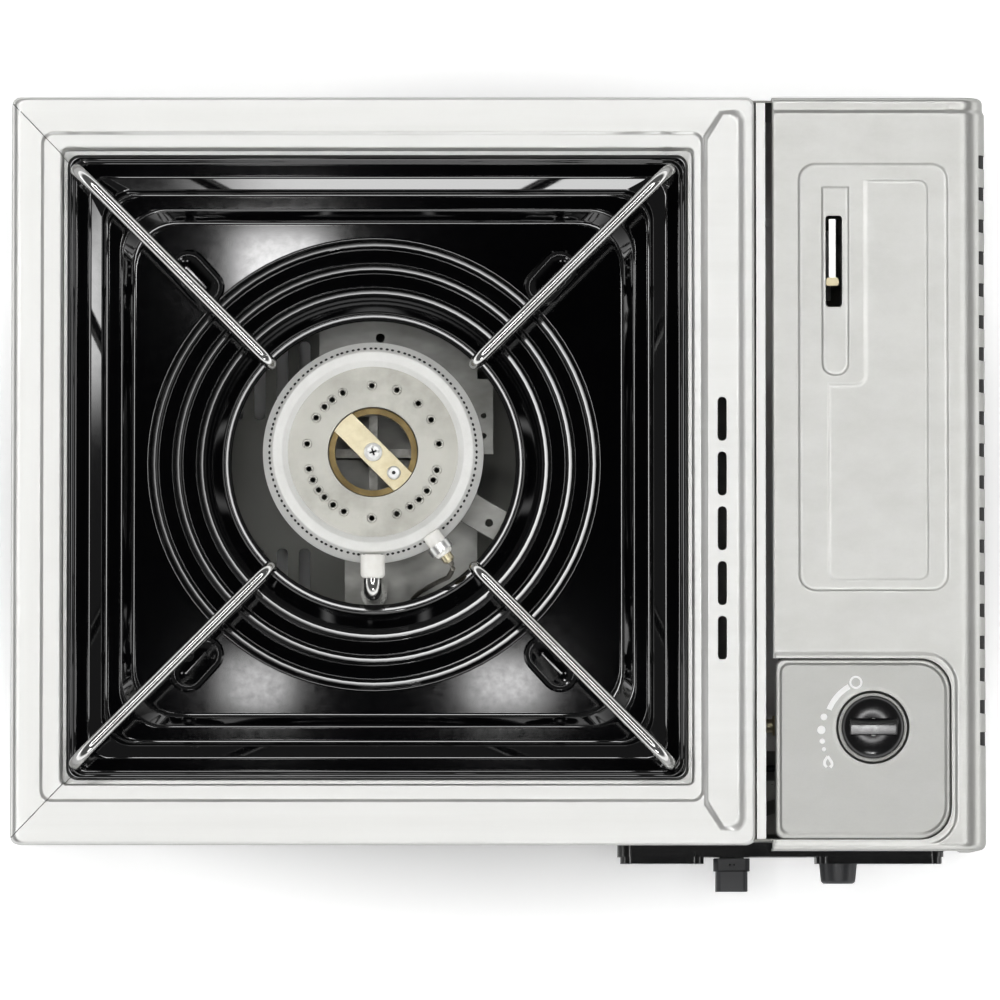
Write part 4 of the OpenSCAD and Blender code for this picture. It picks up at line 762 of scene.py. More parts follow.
def skin(loops: Sequence[Sequence[Vector]], cap_first: bool = False, cap_last: bool = False) -> Shape:
    """Draw a skin over loops with equal numbers of points.

    Args:
        loops: Closed loops of points, from the outside in or from the bottom up.
        cap_first: Close the first loop with a face.
        cap_last: Close the last loop with a face.

    Returns:
        The skin, its faces pointing up or out.
    """
    shape = bmesh.new()
    ring = [shape.verts.new(p) for p in loops[0]]
    edges = [shape.edges.new((a, b)) for a, b in zip(ring, ring[1:] + ring[:1])]
    if cap_first:
        shape.faces.new(list(reversed(ring)))
    for loop in loops[1:]:
        made = bmesh.ops.extrude_edge_only(shape, edges=edges)["geom"]
        fresh = {v for v in made if isinstance(v, bmesh.types.BMVert)}
        moved_to = {}
        for vert, point in zip(ring, loop):
            partners = (e.other_vert(vert) for e in vert.link_edges)
            partner = next(v for v in partners if v in fresh)
            moved_to[vert] = partner
            partner.co = point
        ring = [moved_to[v] for v in ring]
        edges = [shape.edges.get((a, b)) for a, b in zip(ring, ring[1:] + ring[:1])]
    if cap_last:
        shape.faces.new(ring)
    bmesh.ops.recalc_face_normals(shape, faces=shape.faces)
    return shape


def faced_up(shape: Shape) -> Shape:
    """Turn an open sheet's faces so that most of its area points up, and return it."""
    shape.normal_update()
    if sum(f.normal.z * f.calc_area() for f in shape.faces) < 0:
        bmesh.ops.reverse_faces(shape, faces=shape.faces)
    return shape


def prism(
    outline: Sequence[Spot], z0: float, z1: float, round_by: float = 0.0, segments: int = 2
) -> Shape:
    """Raise an outline to a solid, with its edges rounded.

    Args:
        outline: Corners in plan, in millimetres, counter-clockwise.
        z0: Height of the bottom.
        z1: Height of the top.
        round_by: Width of the rounding of its edges.
        segments: Faces across the rounding.

    Returns:
        The closed solid.
    """
    shape = bmesh.new()
    face = shape.faces.new([shape.verts.new((x * MM, y * MM, z0 * MM)) for x, y in outline])
    made = bmesh.ops.extrude_face_region(shape, geom=[face])["geom"]
    top = [v for v in made if isinstance(v, bmesh.types.BMVert)]
    bmesh.ops.translate(shape, vec=(0, 0, (z1 - z0) * MM), verts=top)
    bmesh.ops.recalc_face_normals(shape, faces=shape.faces)
    if round_by > 0:
        round_edges(shape, round_by, segments, 30.0)
    return shape


def stadium(length: float, width: float, steps: int = 10) -> list[Spot]:
    """Return the outline of a slot along X, round at its ends, in millimetres."""
    r = width / 2
    hub = length / 2 - r
    ends = ((hub, -90.0), (-hub, 90.0))
    return [polar(r, a + 180 * i / steps, (x, 0.0)) for x, a in ends for i in range(steps + 1)]


def bent(points: Sequence[Vector], radii: Sequence[float], steps: int = 8) -> list[Vector]:
    """Round the corners of a path.

    Args:
        points: Corners of the path, in millimetres.
        radii: Bend radius at each corner; the first and last aren't used.
        steps: Points on each bend.

    Returns:
        Points along the rounded path.
    """
    path = [points[0]]
    for before, here, after, radius in zip(points, points[1:], points[2:], radii[1:]):
        back = (before - here).normalized()
        on = (after - here).normalized()
        half = back.angle(on) / 2
        hub = here + (back + on).normalized() * (radius / math.sin(half))
        start = here + back * (radius / math.tan(half))
        stop = here + on * (radius / math.tan(half))
        from_hub, to_hub = (start - hub).normalized(), (stop - hub).normalized()
        path += [hub + from_hub.slerp(to_hub, i / steps) * radius for i in range(steps + 1)]
    path.append(points[-1])
    return path


def wire(path: Sequence[Vector], radius: float, sides: int = 20, round_ends: bool = True) -> Shape:
    """Sweep a round wire along a path.

    Args:
        path: Points of the wire's middle, in millimetres.
        radius: Radius of the wire.
        sides: Faces round the wire.
        round_ends: End in small chamfers.

    Returns:
        The closed wire.
    """
    ways = [(b - a).normalized() for a, b in zip(path, path[1:])]
    ways = [ways[0]] + [(a + b).normalized() for a, b in zip(ways, ways[1:])] + [ways[-1]]
    side = ways[0].orthogonal().normalized()
    stations = [(p, w, 1.0) for p, w in zip(path, ways)]
    if round_ends:
        nip = 0.3 * radius
        stations[0] = (path[0] + ways[0] * nip, ways[0], 1.0)
        stations[-1] = (path[-1] - ways[-1] * nip, ways[-1], 1.0)
        stations.insert(0, (path[0], ways[0], 0.7))
        stations.append((path[-1], ways[-1], 0.7))
    loops = []
    for point, way, share in stations:
        side = (side - way * side.dot(way)).normalized()
        across = way.cross(side)
        loops.append([
            (point + radius * share * (side * math.cos(a) + across * math.sin(a))) * MM
            for a in (math.tau * k / sides for k in range(sides))
        ])
    return skin(loops, True, True)


# ---- Sub-assemblies ----


@dataclass
class Deck:
    """Pressed top of the burner section, and its separate left bar."""

    outer: Oblong = Oblong(-170.0, 89.5, -122.5, 138.5, 3.0)
    crown: Oblong = Oblong(-166.6, 88.2, -121.2, 137.2, 2.4)
    fold: Oblong = Oblong(-160.0, 72.2, -107.9, 126.6, 4.2)
    band: Oblong = Oblong(-158.4, 70.2, -106.4, 125.0, 3.4)
    edge: Oblong = Oblong(-153.3, 68.7, -102.3, 121.4, 2.6)
    opening: Oblong = Oblong(-152.5, 67.9, -101.5, 120.6, 2.2)
    top: float = 80.0
    band_drop: float = 0.7
    skirt: float = 62.0
    left_low: float = 8.0
    ledge: float = 70.0
    ledge_w: float = 6.0
    sheet: float = 0.8
    seam: float = 0.4
    crown_r: float = 2.0
    lip_r: float = 0.8
    mitre_x: float = -160.2
    mitre_rear: float = 126.6
    mitre_front: float = -110.4
    mitre_way: Spot = (0.72, 0.69)

    def section(self) -> list[tuple[Oblong, float]]:
        """Return the deck's section as oblongs with heights, from the skirt's foot to the ledge."""
        shoulder = self.top - self.crown_r
        low = self.top - self.band_drop
        levels = [(self.outer, self.skirt), (self.outer, shoulder)]
        for i in range(1, 7):
            a = math.radians(90 * i / 6)
            place = self.outer.toward(self.crown, 1 - math.cos(a))
            levels.append((place, shoulder + self.crown_r * math.sin(a)))
        levels.append((self.fold, self.top))
        for i in range(1, 7):
            t = i / 6
            levels.append((self.fold.toward(self.band, t), self.top - self.band_drop * smooth(t)))
        levels.append((self.edge, low))
        for i in range(1, 5):
            a = math.radians(90 * i / 4)
            place = self.edge.toward(self.opening, math.sin(a))
            levels.append((place, low - self.lip_r * (1 - math.cos(a))))
        bend = 0.4
        levels.append((self.opening, self.ledge + bend))
        levels.append((self.opening.inset(bend), self.ledge))
        levels.append((self.opening.inset(self.ledge_w), self.ledge))
        return levels

    def whole(self) -> Shape:
        """Return the sheet of all four bars, uncut."""
        return faced_up(skin([oblong.loop(z) for oblong, z in self.section()]))

    def mitred(self, left: bool) -> Shape:
        """Return the sheet on one side of the two mitred joints.

        Args:
            left: True for the left bar, False for the other three.

        Returns:
            The open sheet.
        """
        shape = self.whole()
        gap = self.seam if left else 0.0
        along, across = self.mitre_way
        joints = [
            (Vector((self.mitre_x, self.mitre_rear - gap, 0)), Vector((along, across, 0))),
            (Vector((self.mitre_x, self.mitre_front + gap, 0)), Vector((along, -across, 0))),
        ]
        for point, normal in joints:
            bmesh.ops.bisect_plane(
                shape, geom=shape.verts[:] + shape.edges[:] + shape.faces[:], dist=NEAR,
                plane_co=point * MM, plane_no=normal, use_snap_center=False,
            )
        spare = []
        for face in shape.faces:
            middle = face.calc_center_median()
            is_left = all((middle - point * MM).dot(normal) < 0 for point, normal in joints)
            if is_left != left:
                spare.append(face)
        bmesh.ops.delete(shape, geom=spare, context="FACES")
        if left:
            for vert in shape.verts:
                if abs(vert.co.z - self.skirt * MM) < NEAR:
                    vert.co.z = self.left_low * MM
        return shape

    def build(self) -> None:
        """Make the deck, its left bar and the raised field with the vent slots."""
        top, bar = self.mitred(False), self.mitred(True)
        deck = publish("deck_top", top, DECK_STEEL, Body.STOVE, ["top_frame"], sheet=self.sheet)
        publish(
            "deck_left_bar", bar, SIDE_STEEL, Body.STOVE, ["left_side_panel"], sheet=self.sheet
        )
        field = VentField()
        cut(deck, field.well())
        field.build()


@dataclass
class VentField:
    """Raised field on the right bar of the deck, with its vent slots."""

    low_x0: float = 71.4
    low_x1: float = 86.6
    high_x0: float = 73.2
    high_x1: float = 82.8
    rear: float = 134.2
    front: float = -118.0
    top: float = 80.0
    rise: float = 1.0
    slot_x: float = 77.9
    slot_w: float = 3.2
    slot_l: float = 15.4
    pitch: float = 19.1
    first: float = 25.8
    draft: float = 2.2
    slant: float = 9.0
    slant_w: float = 5.5
    slant_end: float = 0.3
    corner_r: float = 4.0
    well_x: Spot = (74.5, 81.3)
    well_y: Spot = (-58.0, 38.0)

    def slots(self) -> list[float]:
        """Return the middles of the five slots along Y."""
        return [self.first - i * self.pitch for i in range(5)]

    def outline(self, x0: float, x1: float, inset: float) -> list[Spot]:
        """Return the field's outline, with slanting left corners and round right ones."""
        rear = self.rear - inset
        front = self.front + inset
        r = self.corner_r
        arc_rear = [polar(r, 15.0 * i, (x1 - r, rear - r)) for i in range(7)]
        arc_front = [(x, rear + front - y) for x, y in reversed(arc_rear)]
        slant = [(x0, rear - self.slant), (x0, front + self.slant)]
        near = x0 + self.slant_w
        front_end = (near, front + self.slant_end)
        rear_end = (near, rear - self.slant_end)
        return [*slant, front_end, *arc_front, *arc_rear, rear_end]

    def well(self) -> Shape:
        """Return the block that is cut from the deck under the field."""
        (x0, x1), (y0, y1) = self.well_x, self.well_y
        return prism([(x0, y0), (x1, y0), (x1, y1), (x0, y1)], self.top - 3.0, self.top + 2.0)

    def build(self) -> None:
        """Make the field and cut its slots."""
        loops = []
        for t, rise in ((0.0, 0.0), (0.25, 0.12), (0.5, 0.5), (0.75, 0.88), (1.0, 1.0)):
            x0 = self.low_x0 + (self.high_x0 - self.low_x0) * t
            x1 = self.low_x1 + (self.high_x1 - self.low_x1) * t
            z = self.top - SUNK + self.rise * rise
            outline = self.outline(x0, x1, self.draft * t)
            loops.append([Vector((x, y, z)) * MM for x, y in outline])
        shape = faced_up(skin(loops, cap_last=True))
        piece = publish("deck_vent_field", shape, DECK_STEEL, Body.STOVE, sheet=0.7)
        slot = stadium(self.slot_l, self.slot_w)
        low, high = self.top - 4.0, self.top + 3.0
        holes = [moved(prism(slot, low, high), at(self.slot_x, y, 0.0, 90.0)) for y in self.slots()]
        cut(piece, joined(holes))


# Sections of the drip pan, each point as distance and height from the place that it belongs to:
# the rim with the slope below it, the middle step and the floor, by distance in from the rim
RIM_SECTION = (
    (0.0, -0.8), (0.2, -0.25), (0.8, -0.02), (1.2, 0.0), (1.8, 0.0), (2.2, -0.25), (2.4, -0.5),
    (2.8, -0.72), (3.3, -0.8), (3.6, -0.8), (7.2, -0.8), (7.5, -0.8), (8.0, -0.89), (8.2, -0.96),
    (8.5, -1.13), (11.8, -3.04), (12.1, -3.22), (12.3, -3.45),
)
STEP_SECTION = (
    (13.0, 0.45), (13.2, 0.22), (13.4, 0.12), (14.1, 0.0), (14.5, 0.0), (18.1, 0.0), (18.5, 0.0),
    (19.1, -0.11), (19.3, -0.22), (19.5, -0.5),
)
FLOOR_SECTION = (
    (21.9, 0.9), (22.2, 0.4), (22.5, 0.16), (23.3, 0.02), (23.5, 0.0), (23.9, 0.0),
)
# The round well, by distance out from a ring's crest: its start on the floor, a ring's crest, the
# valley to the next ring, the foot of the cone, and the lip by distance out from the hole
WELL_START = ((2.3, 0.0), (1.9, 0.0), (1.7, 0.03), (1.2, 0.12), (1.05, 0.25))
RING_CREST = ((0.5, -0.95), (0.35, -0.72), (0.15, -0.62), (-0.9, -0.79), (-1.1, -0.85))
RING_VALLEY = (
    (-1.3, -1.02), (-1.9, -1.75), (-2.1, -1.9), (-2.4, -1.94), (-2.8, -1.95), (-6.5, -2.05),
    (-6.9, -2.05), (-7.1, -2.0), (-7.3, -1.8),
)
CONE_FOOT = ((-1.3, -1.02), (-1.6, -1.0), (-1.8, -0.8))
HOLE_LIP = (
    (3.6, -0.95), (3.3, -0.65), (2.9, -0.3), (2.6, -0.1), (2.3, 0.0), (2.1, -0.02), (0.5, -0.3),
    (0.2, -0.5), (0.0, -0.9), (0.0, -2.0),
)
# Radius of the pan's corners, by distance in from the rim
CORNER_RADII = ((0.0, 4.0), (8.2, 6.5), (14.1, 12.0), (19.1, 15.0), (23.9, 17.0))


@dataclass
class DripPan:
    """Enamelled pan with its concentric rings and the pads under the supports."""

    rim: Oblong = Oblong(-150.9, 66.3, -99.9, 119.0, 4.0)
    centre: Spot = (-43.7, 11.05)
    rim_top: float = 71.3
    step_top: float = 64.3
    floor: float = 60.3
    sheet: float = 1.0
    hole_r: float = 49.7
    ring_r: float = 77.7
    pitch: float = 8.4
    ring_h: float = 2.4
    ring_count: int = 3
    lip_h: float = 9.0
    pad_dist: float = 92.0
    pad_l: float = 22.5
    pad_w: float = 13.5
    pad_h: float = 1.4
    pad_turn: float = 2.5
    support_y: float = 8.85

    def walls(self) -> list[tuple[Oblong, float]]:
        """Return the pan's stepped walls as oblongs with heights, from the rim to the floor."""
        levels = placed(RIM_SECTION, 0.0, self.rim_top)
        levels += placed(STEP_SECTION, 0.0, self.step_top)
        levels += placed(FLOOR_SECTION, 0.0, self.floor)
        return [(self.rim.inset(d, self.corner(d)), z) for d, z in levels]

    def corner(self, d: float) -> float:
        """Return the radius of the corners at a distance in from the rim."""
        (d0, r0), (d1, r1) = next(
            pair for pair in zip(CORNER_RADII, CORNER_RADII[1:]) if d <= pair[1][0]
        )
        return r0 + (r1 - r0) * (d - d0) / (d1 - d0)

    def rings(self) -> list[Spot]:
        """Return the section of the round well, from its outer ring to the hole."""
        points = placed(WELL_START, self.ring_r, 0.0)
        for k in range(self.ring_count):
            crest = self.ring_r - k * self.pitch
            inner = RING_VALLEY if k < self.ring_count - 1 else CONE_FOOT
            points += placed(RING_CREST + inner, crest, self.ring_h)
        points += placed(HOLE_LIP, self.hole_r, self.lip_h)
        return placed(points, 0.0, self.floor)

    def pad(self, k: int) -> Shape:
        """Return one raised pad under a support, from 0 to 3."""
        levels = (
            (0.0, 0.0), (0.15, 0.06), (0.7, 0.85), (0.95, 1.02), (1.9, 1.36),
            (2.3, self.pad_h + 0.02), (3.2, self.pad_h - 0.15),
            (self.pad_w / 2 - 0.6, self.pad_h - 0.25),
        )
        loops = []
        for inset, z in levels:
            outline = stadium(self.pad_l - 2 * inset, self.pad_w - 2 * inset)
            loops.append([Vector((x, y, self.floor - SUNK + z)) * MM for x, y in outline])
        shape = faced_up(skin(loops, cap_last=True))
        turn = 45.0 + 90.0 * k + (self.pad_turn if k % 2 == 0 else -self.pad_turn)
        return moved(shape, at(self.centre[0], self.support_y, 0, turn) @ at(self.pad_dist, 0, 0))

    def build(self) -> None:
        """Make the pan and its pads."""
        loops = [oblong.loop(z) for oblong, z in self.walls()]
        count = len(loops[0])
        loops += [ring_loop(r, z, count, self.centre) for r, z in self.rings()]
        pan = faced_up(skin(loops))
        publish("enamelled_pan", pan, ENAMEL, Body.PAN, ["drip_pan"], sheet=self.sheet)
        publish("pan_pads", joined(self.pad(k) for k in range(4)), ENAMEL, Body.PAN)


@dataclass
class Supports:
    """Four bent wires that carry a pot."""

    centre: Spot = (-43.7, 8.85)
    radius: float = 2.1
    top: float = 97.9
    lower: float = 84.9
    inner: float = 50.1
    outer: float = 146.0
    foot: float = 92.0
    foot_z: float = 61.7
    rim_z: float = 71.3
    bend: float = 5.0

    def path(self, k: int) -> list[Vector]:
        """Return the middle line of one support, from 0 to 3."""
        side = (
            (self.foot, self.foot_z), (self.foot, self.lower), (self.inner, self.lower),
            (self.inner, self.top), (self.outer, self.top), (self.outer, self.rim_z),
        )
        points = [Vector((*polar(r, 45 + 90 * k, self.centre), z)) for r, z in side]
        return bent(points, [0, self.bend, self.bend, self.bend, 2 * self.bend, 0])

    def build(self) -> None:
        """Make the four supports."""
        for k in range(4):
            shape = wire(self.path(k), self.radius, 24)
            nodes = [f"pan_support_{k + 1}"]
            publish(f"support_wire_{k + 1}", shape, CHROME_WIRE, Body.PAN, nodes)


@dataclass
class Burner:
    """Port ring and cap, with painted shade for their ports and for the recesses in the strap's screw and
    rivet.
    """

    centre: Spot = (-43.7, 14.05)
    seat: float = 74.0
    top: float = 86.0
    outer: float = 38.5
    ring_out: float = 35.2
    ring_in: float = 31.2
    cap_low: float = 83.0
    edge_ports: int = 114
    port_r: float = 0.55
    top_port_circle: float = 23.1
    ring_foot: float = 33.6
    top_ports: tuple[int, ...] = (
        7, 29, 47, 69, 91, 117, 128, 137, 149, 173, 195, 205, 215, 223, 233, 244, 269, 291, 304, 314,
        324, 335, 344,
    )

    def axis(self) -> Matrix:
        """Return the matrix of the burner's axis."""
        return at(*self.centre, 0.0)

    def ring(self) -> Shape:
        """Return the port ring with rounded edges."""
        side = [(self.ring_foot, self.seat), (self.outer - 0.4, self.seat), (self.outer, self.seat + 0.4)]
        shoulder = placed(((0.0, -7.0), (-0.15, -6.6), (-0.5, -6.1)), self.outer, self.top)
        slope = placed(
            ((0.55, -1.75), (0.25, -1.5), (0.1, -1.1), (0.0, -0.6), (-0.25, -0.2), (-0.7, 0.0)),
            self.ring_out, self.top,
        )
        rim = placed(((0.7, 0.0), (0.25, -0.15), (0.0, -0.4)), self.ring_in, self.top)
        inside = placed(((-1.5, 1.3), (-1.6, 1.0), (-1.6, -1.6)), self.ring_in, self.cap_low)
        back = [(self.ring_foot, self.seat + 4), (self.ring_foot, self.seat)]
        return moved(lathe(side + shoulder + slope + rim + inside + back, 128), self.axis())

    def ports(self) -> Shape:
        """Return dark discs of painted shade where the drilled ports open on the ring's slope."""
        spot = at(self.ring_out + 0.75, 0.0, self.top - 2.15)
        tilt = Matrix.Rotation(math.radians(52.0), 4, "Y")
        mouths = []
        for i in range(self.edge_ports):
            drift = 0.35 * math.sin(7.3 * i) + 0.25 * math.sin(2.1 * i)
            turn = (360.0 * i + 90.0 * drift) / self.edge_ports
            mouth = bmesh.new()
            bmesh.ops.create_cone(
                mouth, cap_ends=True, segments=8, radius1=self.port_r * MM, radius2=self.port_r * MM,
                depth=0.5 * MM,
            )
            mouths.append(moved(mouth, at(*self.centre, 0.0, turn) @ spot @ tilt))
        return joined(mouths)

    def collars(self) -> Shape:
        """Return the thin raised collars round the top ports."""
        section = ((1.0, 0.0), (1.05, 0.2), (1.2, 0.3), (1.5, 0.3), (1.75, 0.15), (1.8, 0.0))
        face = self.cap_low + 1.18
        return joined(
            moved(lathe(section, 20), at(*polar(self.top_port_circle, turn, self.centre), face))
            for turn in self.top_ports
        )

    def recesses(self) -> Shape:
        """Return dark patches of painted shade for the cross in the strap's screw and the bore of its
        rivet.
        """
        made = []
        marks = (
            ("strap_screw", stadium(2.7, 0.55, 4), (20.0, 110.0)),
            ("strap_rivet", stadium(1.301, 1.3), (0.0,)),
        )
        for node, outline, turns in marks:
            x, y, top = crown(node)
            made += [moved(prism(outline, top - 0.3, top + 0.005), at(x, y, 0.0, turn)) for turn in turns]
        return joined(made)

    def build(self) -> None:
        """Make the port ring, the cap with its collars, and the painted shade of the ports and recesses."""
        cap = softened("burner_cap_plate", 0.18)
        publish("port_ring", self.ring(), RING_STEEL, Body.STOVE, ["burner_port_ring"])
        publish("edge_port_shade", self.ports(), PAINTED_SHADE, Body.STOVE)
        publish("cap_plate", cap, CAP_STEEL, Body.STOVE, ["burner_cap_plate"])
        publish("port_collars", self.collars(), CAP_STEEL, Body.STOVE)
        publish("screw_recess_shade", self.recesses(), PAINTED_SHADE, Body.STOVE)


@dataclass(frozen=True)
class Pressing:
    """A pressed area of the lid.

    Attributes:
        area: Its oblong.
        depth: How far it is pressed in, negative where it stands up.
        soft: Width of its edge, steep outside and easing inwards.
        notch: Oblong that is left out of it.
    """

    area: Oblong
    depth: float
    soft: float = 2.2
    notch: Oblong | None = None

    def height(self, x: float, y: float) -> float:
        """Return the height that the pressing adds at a point, in millimetres."""
        gap = self.area.gap(x, y)
        if self.notch is not None:
            gap = max(gap, -self.notch.gap(x, y))
        t = min(max(-gap / self.soft, 0.0), 1.0)
        return -self.depth * (1 - (1 - t) ** 3)


def ticks(*zones: tuple[float, float, float]) -> list[float]:
    """Return positions from the first zone's start to the last one's end.

    Args:
        zones: Start, end and step of each zone.

    Returns:
        Positions in rising order.
    """
    places = []
    for start, stop, step in zones:
        count = max(1, round((stop - start) / step))
        places += [start + (stop - start) * i / count for i in range(count)]
    return places + [zones[-1][1]]


@dataclass
class Lid:
    """Hinged lid: one pressed shell with embossed fields, a window slot and side vents."""

    left: float = 95.4
    right: float = 170.0
    rear: float = 138.5
    front: float = -124.5
    top: float = 80.0
    low: float = 10.0
    skirt: float = 62.0
    shoulder: float = 9.0
    sheet: float = 0.8
    rear_round: float = 2.0
    front_round: float = 2.6
    band: float = 6.0
    band_drop: float = 0.7
    vents: int = 19
    vent_pitch: float = 11.2
    field: Oblong = Oblong(104.4, 157.0, -34.4, 115.4, 6.0)
    island: Oblong = Oblong(114.7, 150.0, -30.5, 109.6, 3.5)
    notch: Oblong = Oblong(100.0, 127.6, 38.2, 118.0, 3.0)
    channel: Oblong = Oblong(112.6, 122.4, 40.8, 112.0, 4.6)
    bar: Oblong = Oblong(112.2, 128.0, 107.2, 118.0, 1.0)
    window: Oblong = Oblong(114.1, 119.9, 65.0, 97.0, 1.2)
    panel: Oblong = Oblong(60.0, 157.7, -120.8, -57.6, 11.3)
    left_drop: float = 8.0
    left_r: float = 0.9
    band_ease: float = 1.8
    dimple: Spot = (157.6, 134.4)
    dimple_r: float = 1.3
    dimple_h: float = 0.35
    flange_x: float = 160.0
    flange_out: float = 4.0
    vent_x: Spot = (166.3, 173.0)
    vent_start: float = 22.5
    vent_half: float = 2.4
    vent_low: float = 47.0
    leaf: Oblong = Oblong(115.3, 117.7, 75.0, 95.9, 0.5)
    stud: Oblong = Oblong(114.2, 118.8, 72.4, 75.4, 0.9)

    def pressings(self) -> list[Pressing]:
        """Return the pressed areas, from the widest to the narrowest."""
        return [
            Pressing(self.field, 0.45, 2.4),
            Pressing(self.island, -0.3, 2.0, self.notch),
            Pressing(self.channel, 0.4, 1.9, self.bar),
            Pressing(self.panel.inset(-2.0), 0.6, 1.9),
        ]

    def offset(self, y: float) -> float:
        """Return how far the shell lies inside its full section at a place along Y."""
        t = min(max((y - (self.rear - self.band)) / self.band_ease, 0.0), 1.0)
        drop = self.band_drop * smooth(t)
        for end, r in ((self.rear - y, self.rear_round), (y - self.front, self.front_round)):
            if end < r:
                drop += r - math.sqrt(max(r * r - (r - end) ** 2, 0.0))
        return drop

    def section(self) -> list[tuple[Spot, Spot]]:
        """Return points of the section with their outward normals, from left to right."""
        leftward, upward, rightward = (-1.0, 0.0), (0.0, 1.0), (1.0, 0.0)
        bend = self.top - self.left_r
        points = [((self.left, self.top - self.left_drop), leftward), ((self.left, bend), leftward)]
        for i in range(1, 4):
            along, up = polar(1.0, 30 * i)
            spot = (self.left + self.left_r - self.left_r * along, bend + self.left_r * up)
            points.append((spot, (-along, up)))
        edge = self.right - self.shoulder
        across = ticks(
            (97.0, 103.4, 1.0), (103.4, 124.2, 0.3), (124.2, 146.0, 0.6), (146.0, 158.6, 0.3),
            (158.6, edge, 0.6),
        )
        points += [((x, self.top), upward) for x in across]
        for i in range(1, 13):
            a = math.radians(90 * i / 12)
            way = (math.sin(a), math.cos(a))
            x = self.right - self.shoulder * (1 - way[0])
            points.append(((x, self.top - self.shoulder * (1 - way[1])), way))
        foot = self.top - self.shoulder
        points += [((self.right, foot - d), rightward) for d in (14.0, 28.0, 44.0)]
        points.append(((self.right, self.low), rightward))
        return points

    def stations(self) -> list[float]:
        """Return the places of the sections along Y, from front to rear."""
        shares = [1 - math.cos(math.radians(15 * i)) for i in range(6)]
        front_arc = [self.front + self.front_round * share for share in shares]
        rear_arc = [self.rear - self.rear_round * share for share in shares]
        middle = ticks(
            (self.front + self.front_round, -118.0, 0.5), (-118.0, -104.0, 0.7), (-104.0, -74.0, 3.0),
            (-74.0, -53.0, 0.7), (-53.0, -36.5, 2.0), (-36.5, -25.0, 0.35), (-25.0, 34.0, 3.0),
            (34.0, 47.0, 0.35), (47.0, 103.0, 3.0), (103.0, 117.0, 0.3), (117.0, 130.0, 1.5),
            (130.0, self.rear - self.rear_round, 0.4),
        )
        return front_arc + middle + rear_arc[::-1]

    def place(self, point: Spot, normal: Spot, y: float) -> Vector:
        """Return a point of the shell in metres."""
        d = self.offset(y)
        on_left_edge = normal[0] < 0 < point[1] - self.top + 7.0
        x = point[0] - max(normal[0], 0.0) * d
        z = point[1] - (1.0 if on_left_edge else normal[1]) * d
        if normal[1] == 1.0:
            z += sum(pressing.height(x, y) for pressing in self.pressings())
        away = math.hypot(x - self.dimple[0], y - self.dimple[1])
        z -= self.dimple_h * math.exp(-((away / self.dimple_r) ** 2))
        return Vector((x, y, z)) * MM

    def foot(self, index: int, section: Sequence[tuple[Spot, Spot]], y: float) -> Vector:
        """Return the point at the foot of an end wall below a point of the section."""
        (x, z), (side, _) = section[index]
        if side < 0.5:
            return Vector((min(x, self.flange_x), y, self.skirt)) * MM
        bend = self.top - self.shoulder
        t = min(max((bend - z) / (bend - self.low), 0.0), 1.0)
        x = self.flange_x + self.flange_out * t
        return Vector((x, y, self.skirt + (self.low - self.skirt) * t)) * MM

    def shell(self) -> Shape:
        """Return the shell's outer face, open below."""
        section = self.section()
        rows = [[self.place(p, n, y) for p, n in section] for y in self.stations()]
        front = [self.foot(i, section, self.front) for i in range(len(section))]
        rear = [self.foot(i, section, self.rear) for i in range(len(section))]
        shape = bmesh.new()
        last: list[bmesh.types.BMVert] = []
        for row in [front] + rows + [rear]:
            fresh = [shape.verts.new(point) for point in row]
            for (a, b), (c, d) in zip(zip(last, last[1:]), zip(fresh, fresh[1:])):
                shape.faces.new((a, b, d, c))
            last = fresh
        bmesh.ops.remove_doubles(shape, verts=shape.verts, dist=0.01 * MM)
        bmesh.ops.dissolve_degenerate(shape, dist=0.01 * MM, edges=shape.edges)
        bmesh.ops.recalc_face_normals(shape, faces=shape.faces)
        return faced_up(shape)

    def painted_vent_shade(self) -> Shape:
        """Return a thin dark sheet of painted shade that hugs the shell behind the side vents."""
        r = self.shoulder - 0.25
        turns = [math.radians(50 + 5 * i) for i in range(9)]
        hub = (self.right - self.shoulder, self.top - self.shoulder)
        outer = [(hub[0] + r * math.sin(a), hub[1] + r * math.cos(a)) for a in turns] + [(hub[0] + r, 46.0)]
        inner = [(x - 0.15, z - 0.1) for x, z in reversed(outer)]
        return moved(prism(inner + outer, -120.0, 90.0), Matrix.Rotation(math.radians(90.0), 4, "X"))

    def build(self) -> None:
        """Make the shell, cut its openings, and add the painted shade behind the vents and the leaf in the
        window.
        """
        lid = publish("lid_shell", self.shell(), LID_STEEL, Body.COVER, ["lid"], sheet=self.sheet)
        low, high = self.top - 10.0, self.top + 4.0
        cut(lid, prism(self.panel.outline(12), low, high))
        holes = [prism(self.window.outline(5), low, high)]
        for i in range(self.vents):
            y = self.rear - self.vent_start - i * self.vent_pitch
            slot = Oblong(*self.vent_x, y - self.vent_half, y + self.vent_half, 2.2)
            holes.append(prism(slot.outline(5), self.vent_low, self.top - 3.0))
        cut(lid, joined(holes))
        publish("vent_shade", self.painted_vent_shade(), PAINTED_SHADE, Body.COVER)
        leaf = prism(self.leaf.outline(4), 77.7, 78.1, 0.1)
        publish("window_leaf", leaf, POLISHED_LEAF, Body.COVER)
        stud = prism(self.stud.outline(4), 77.4, 78.2, 0.25)
        publish("window_leaf_end", stud, BRASS, Body.COVER)


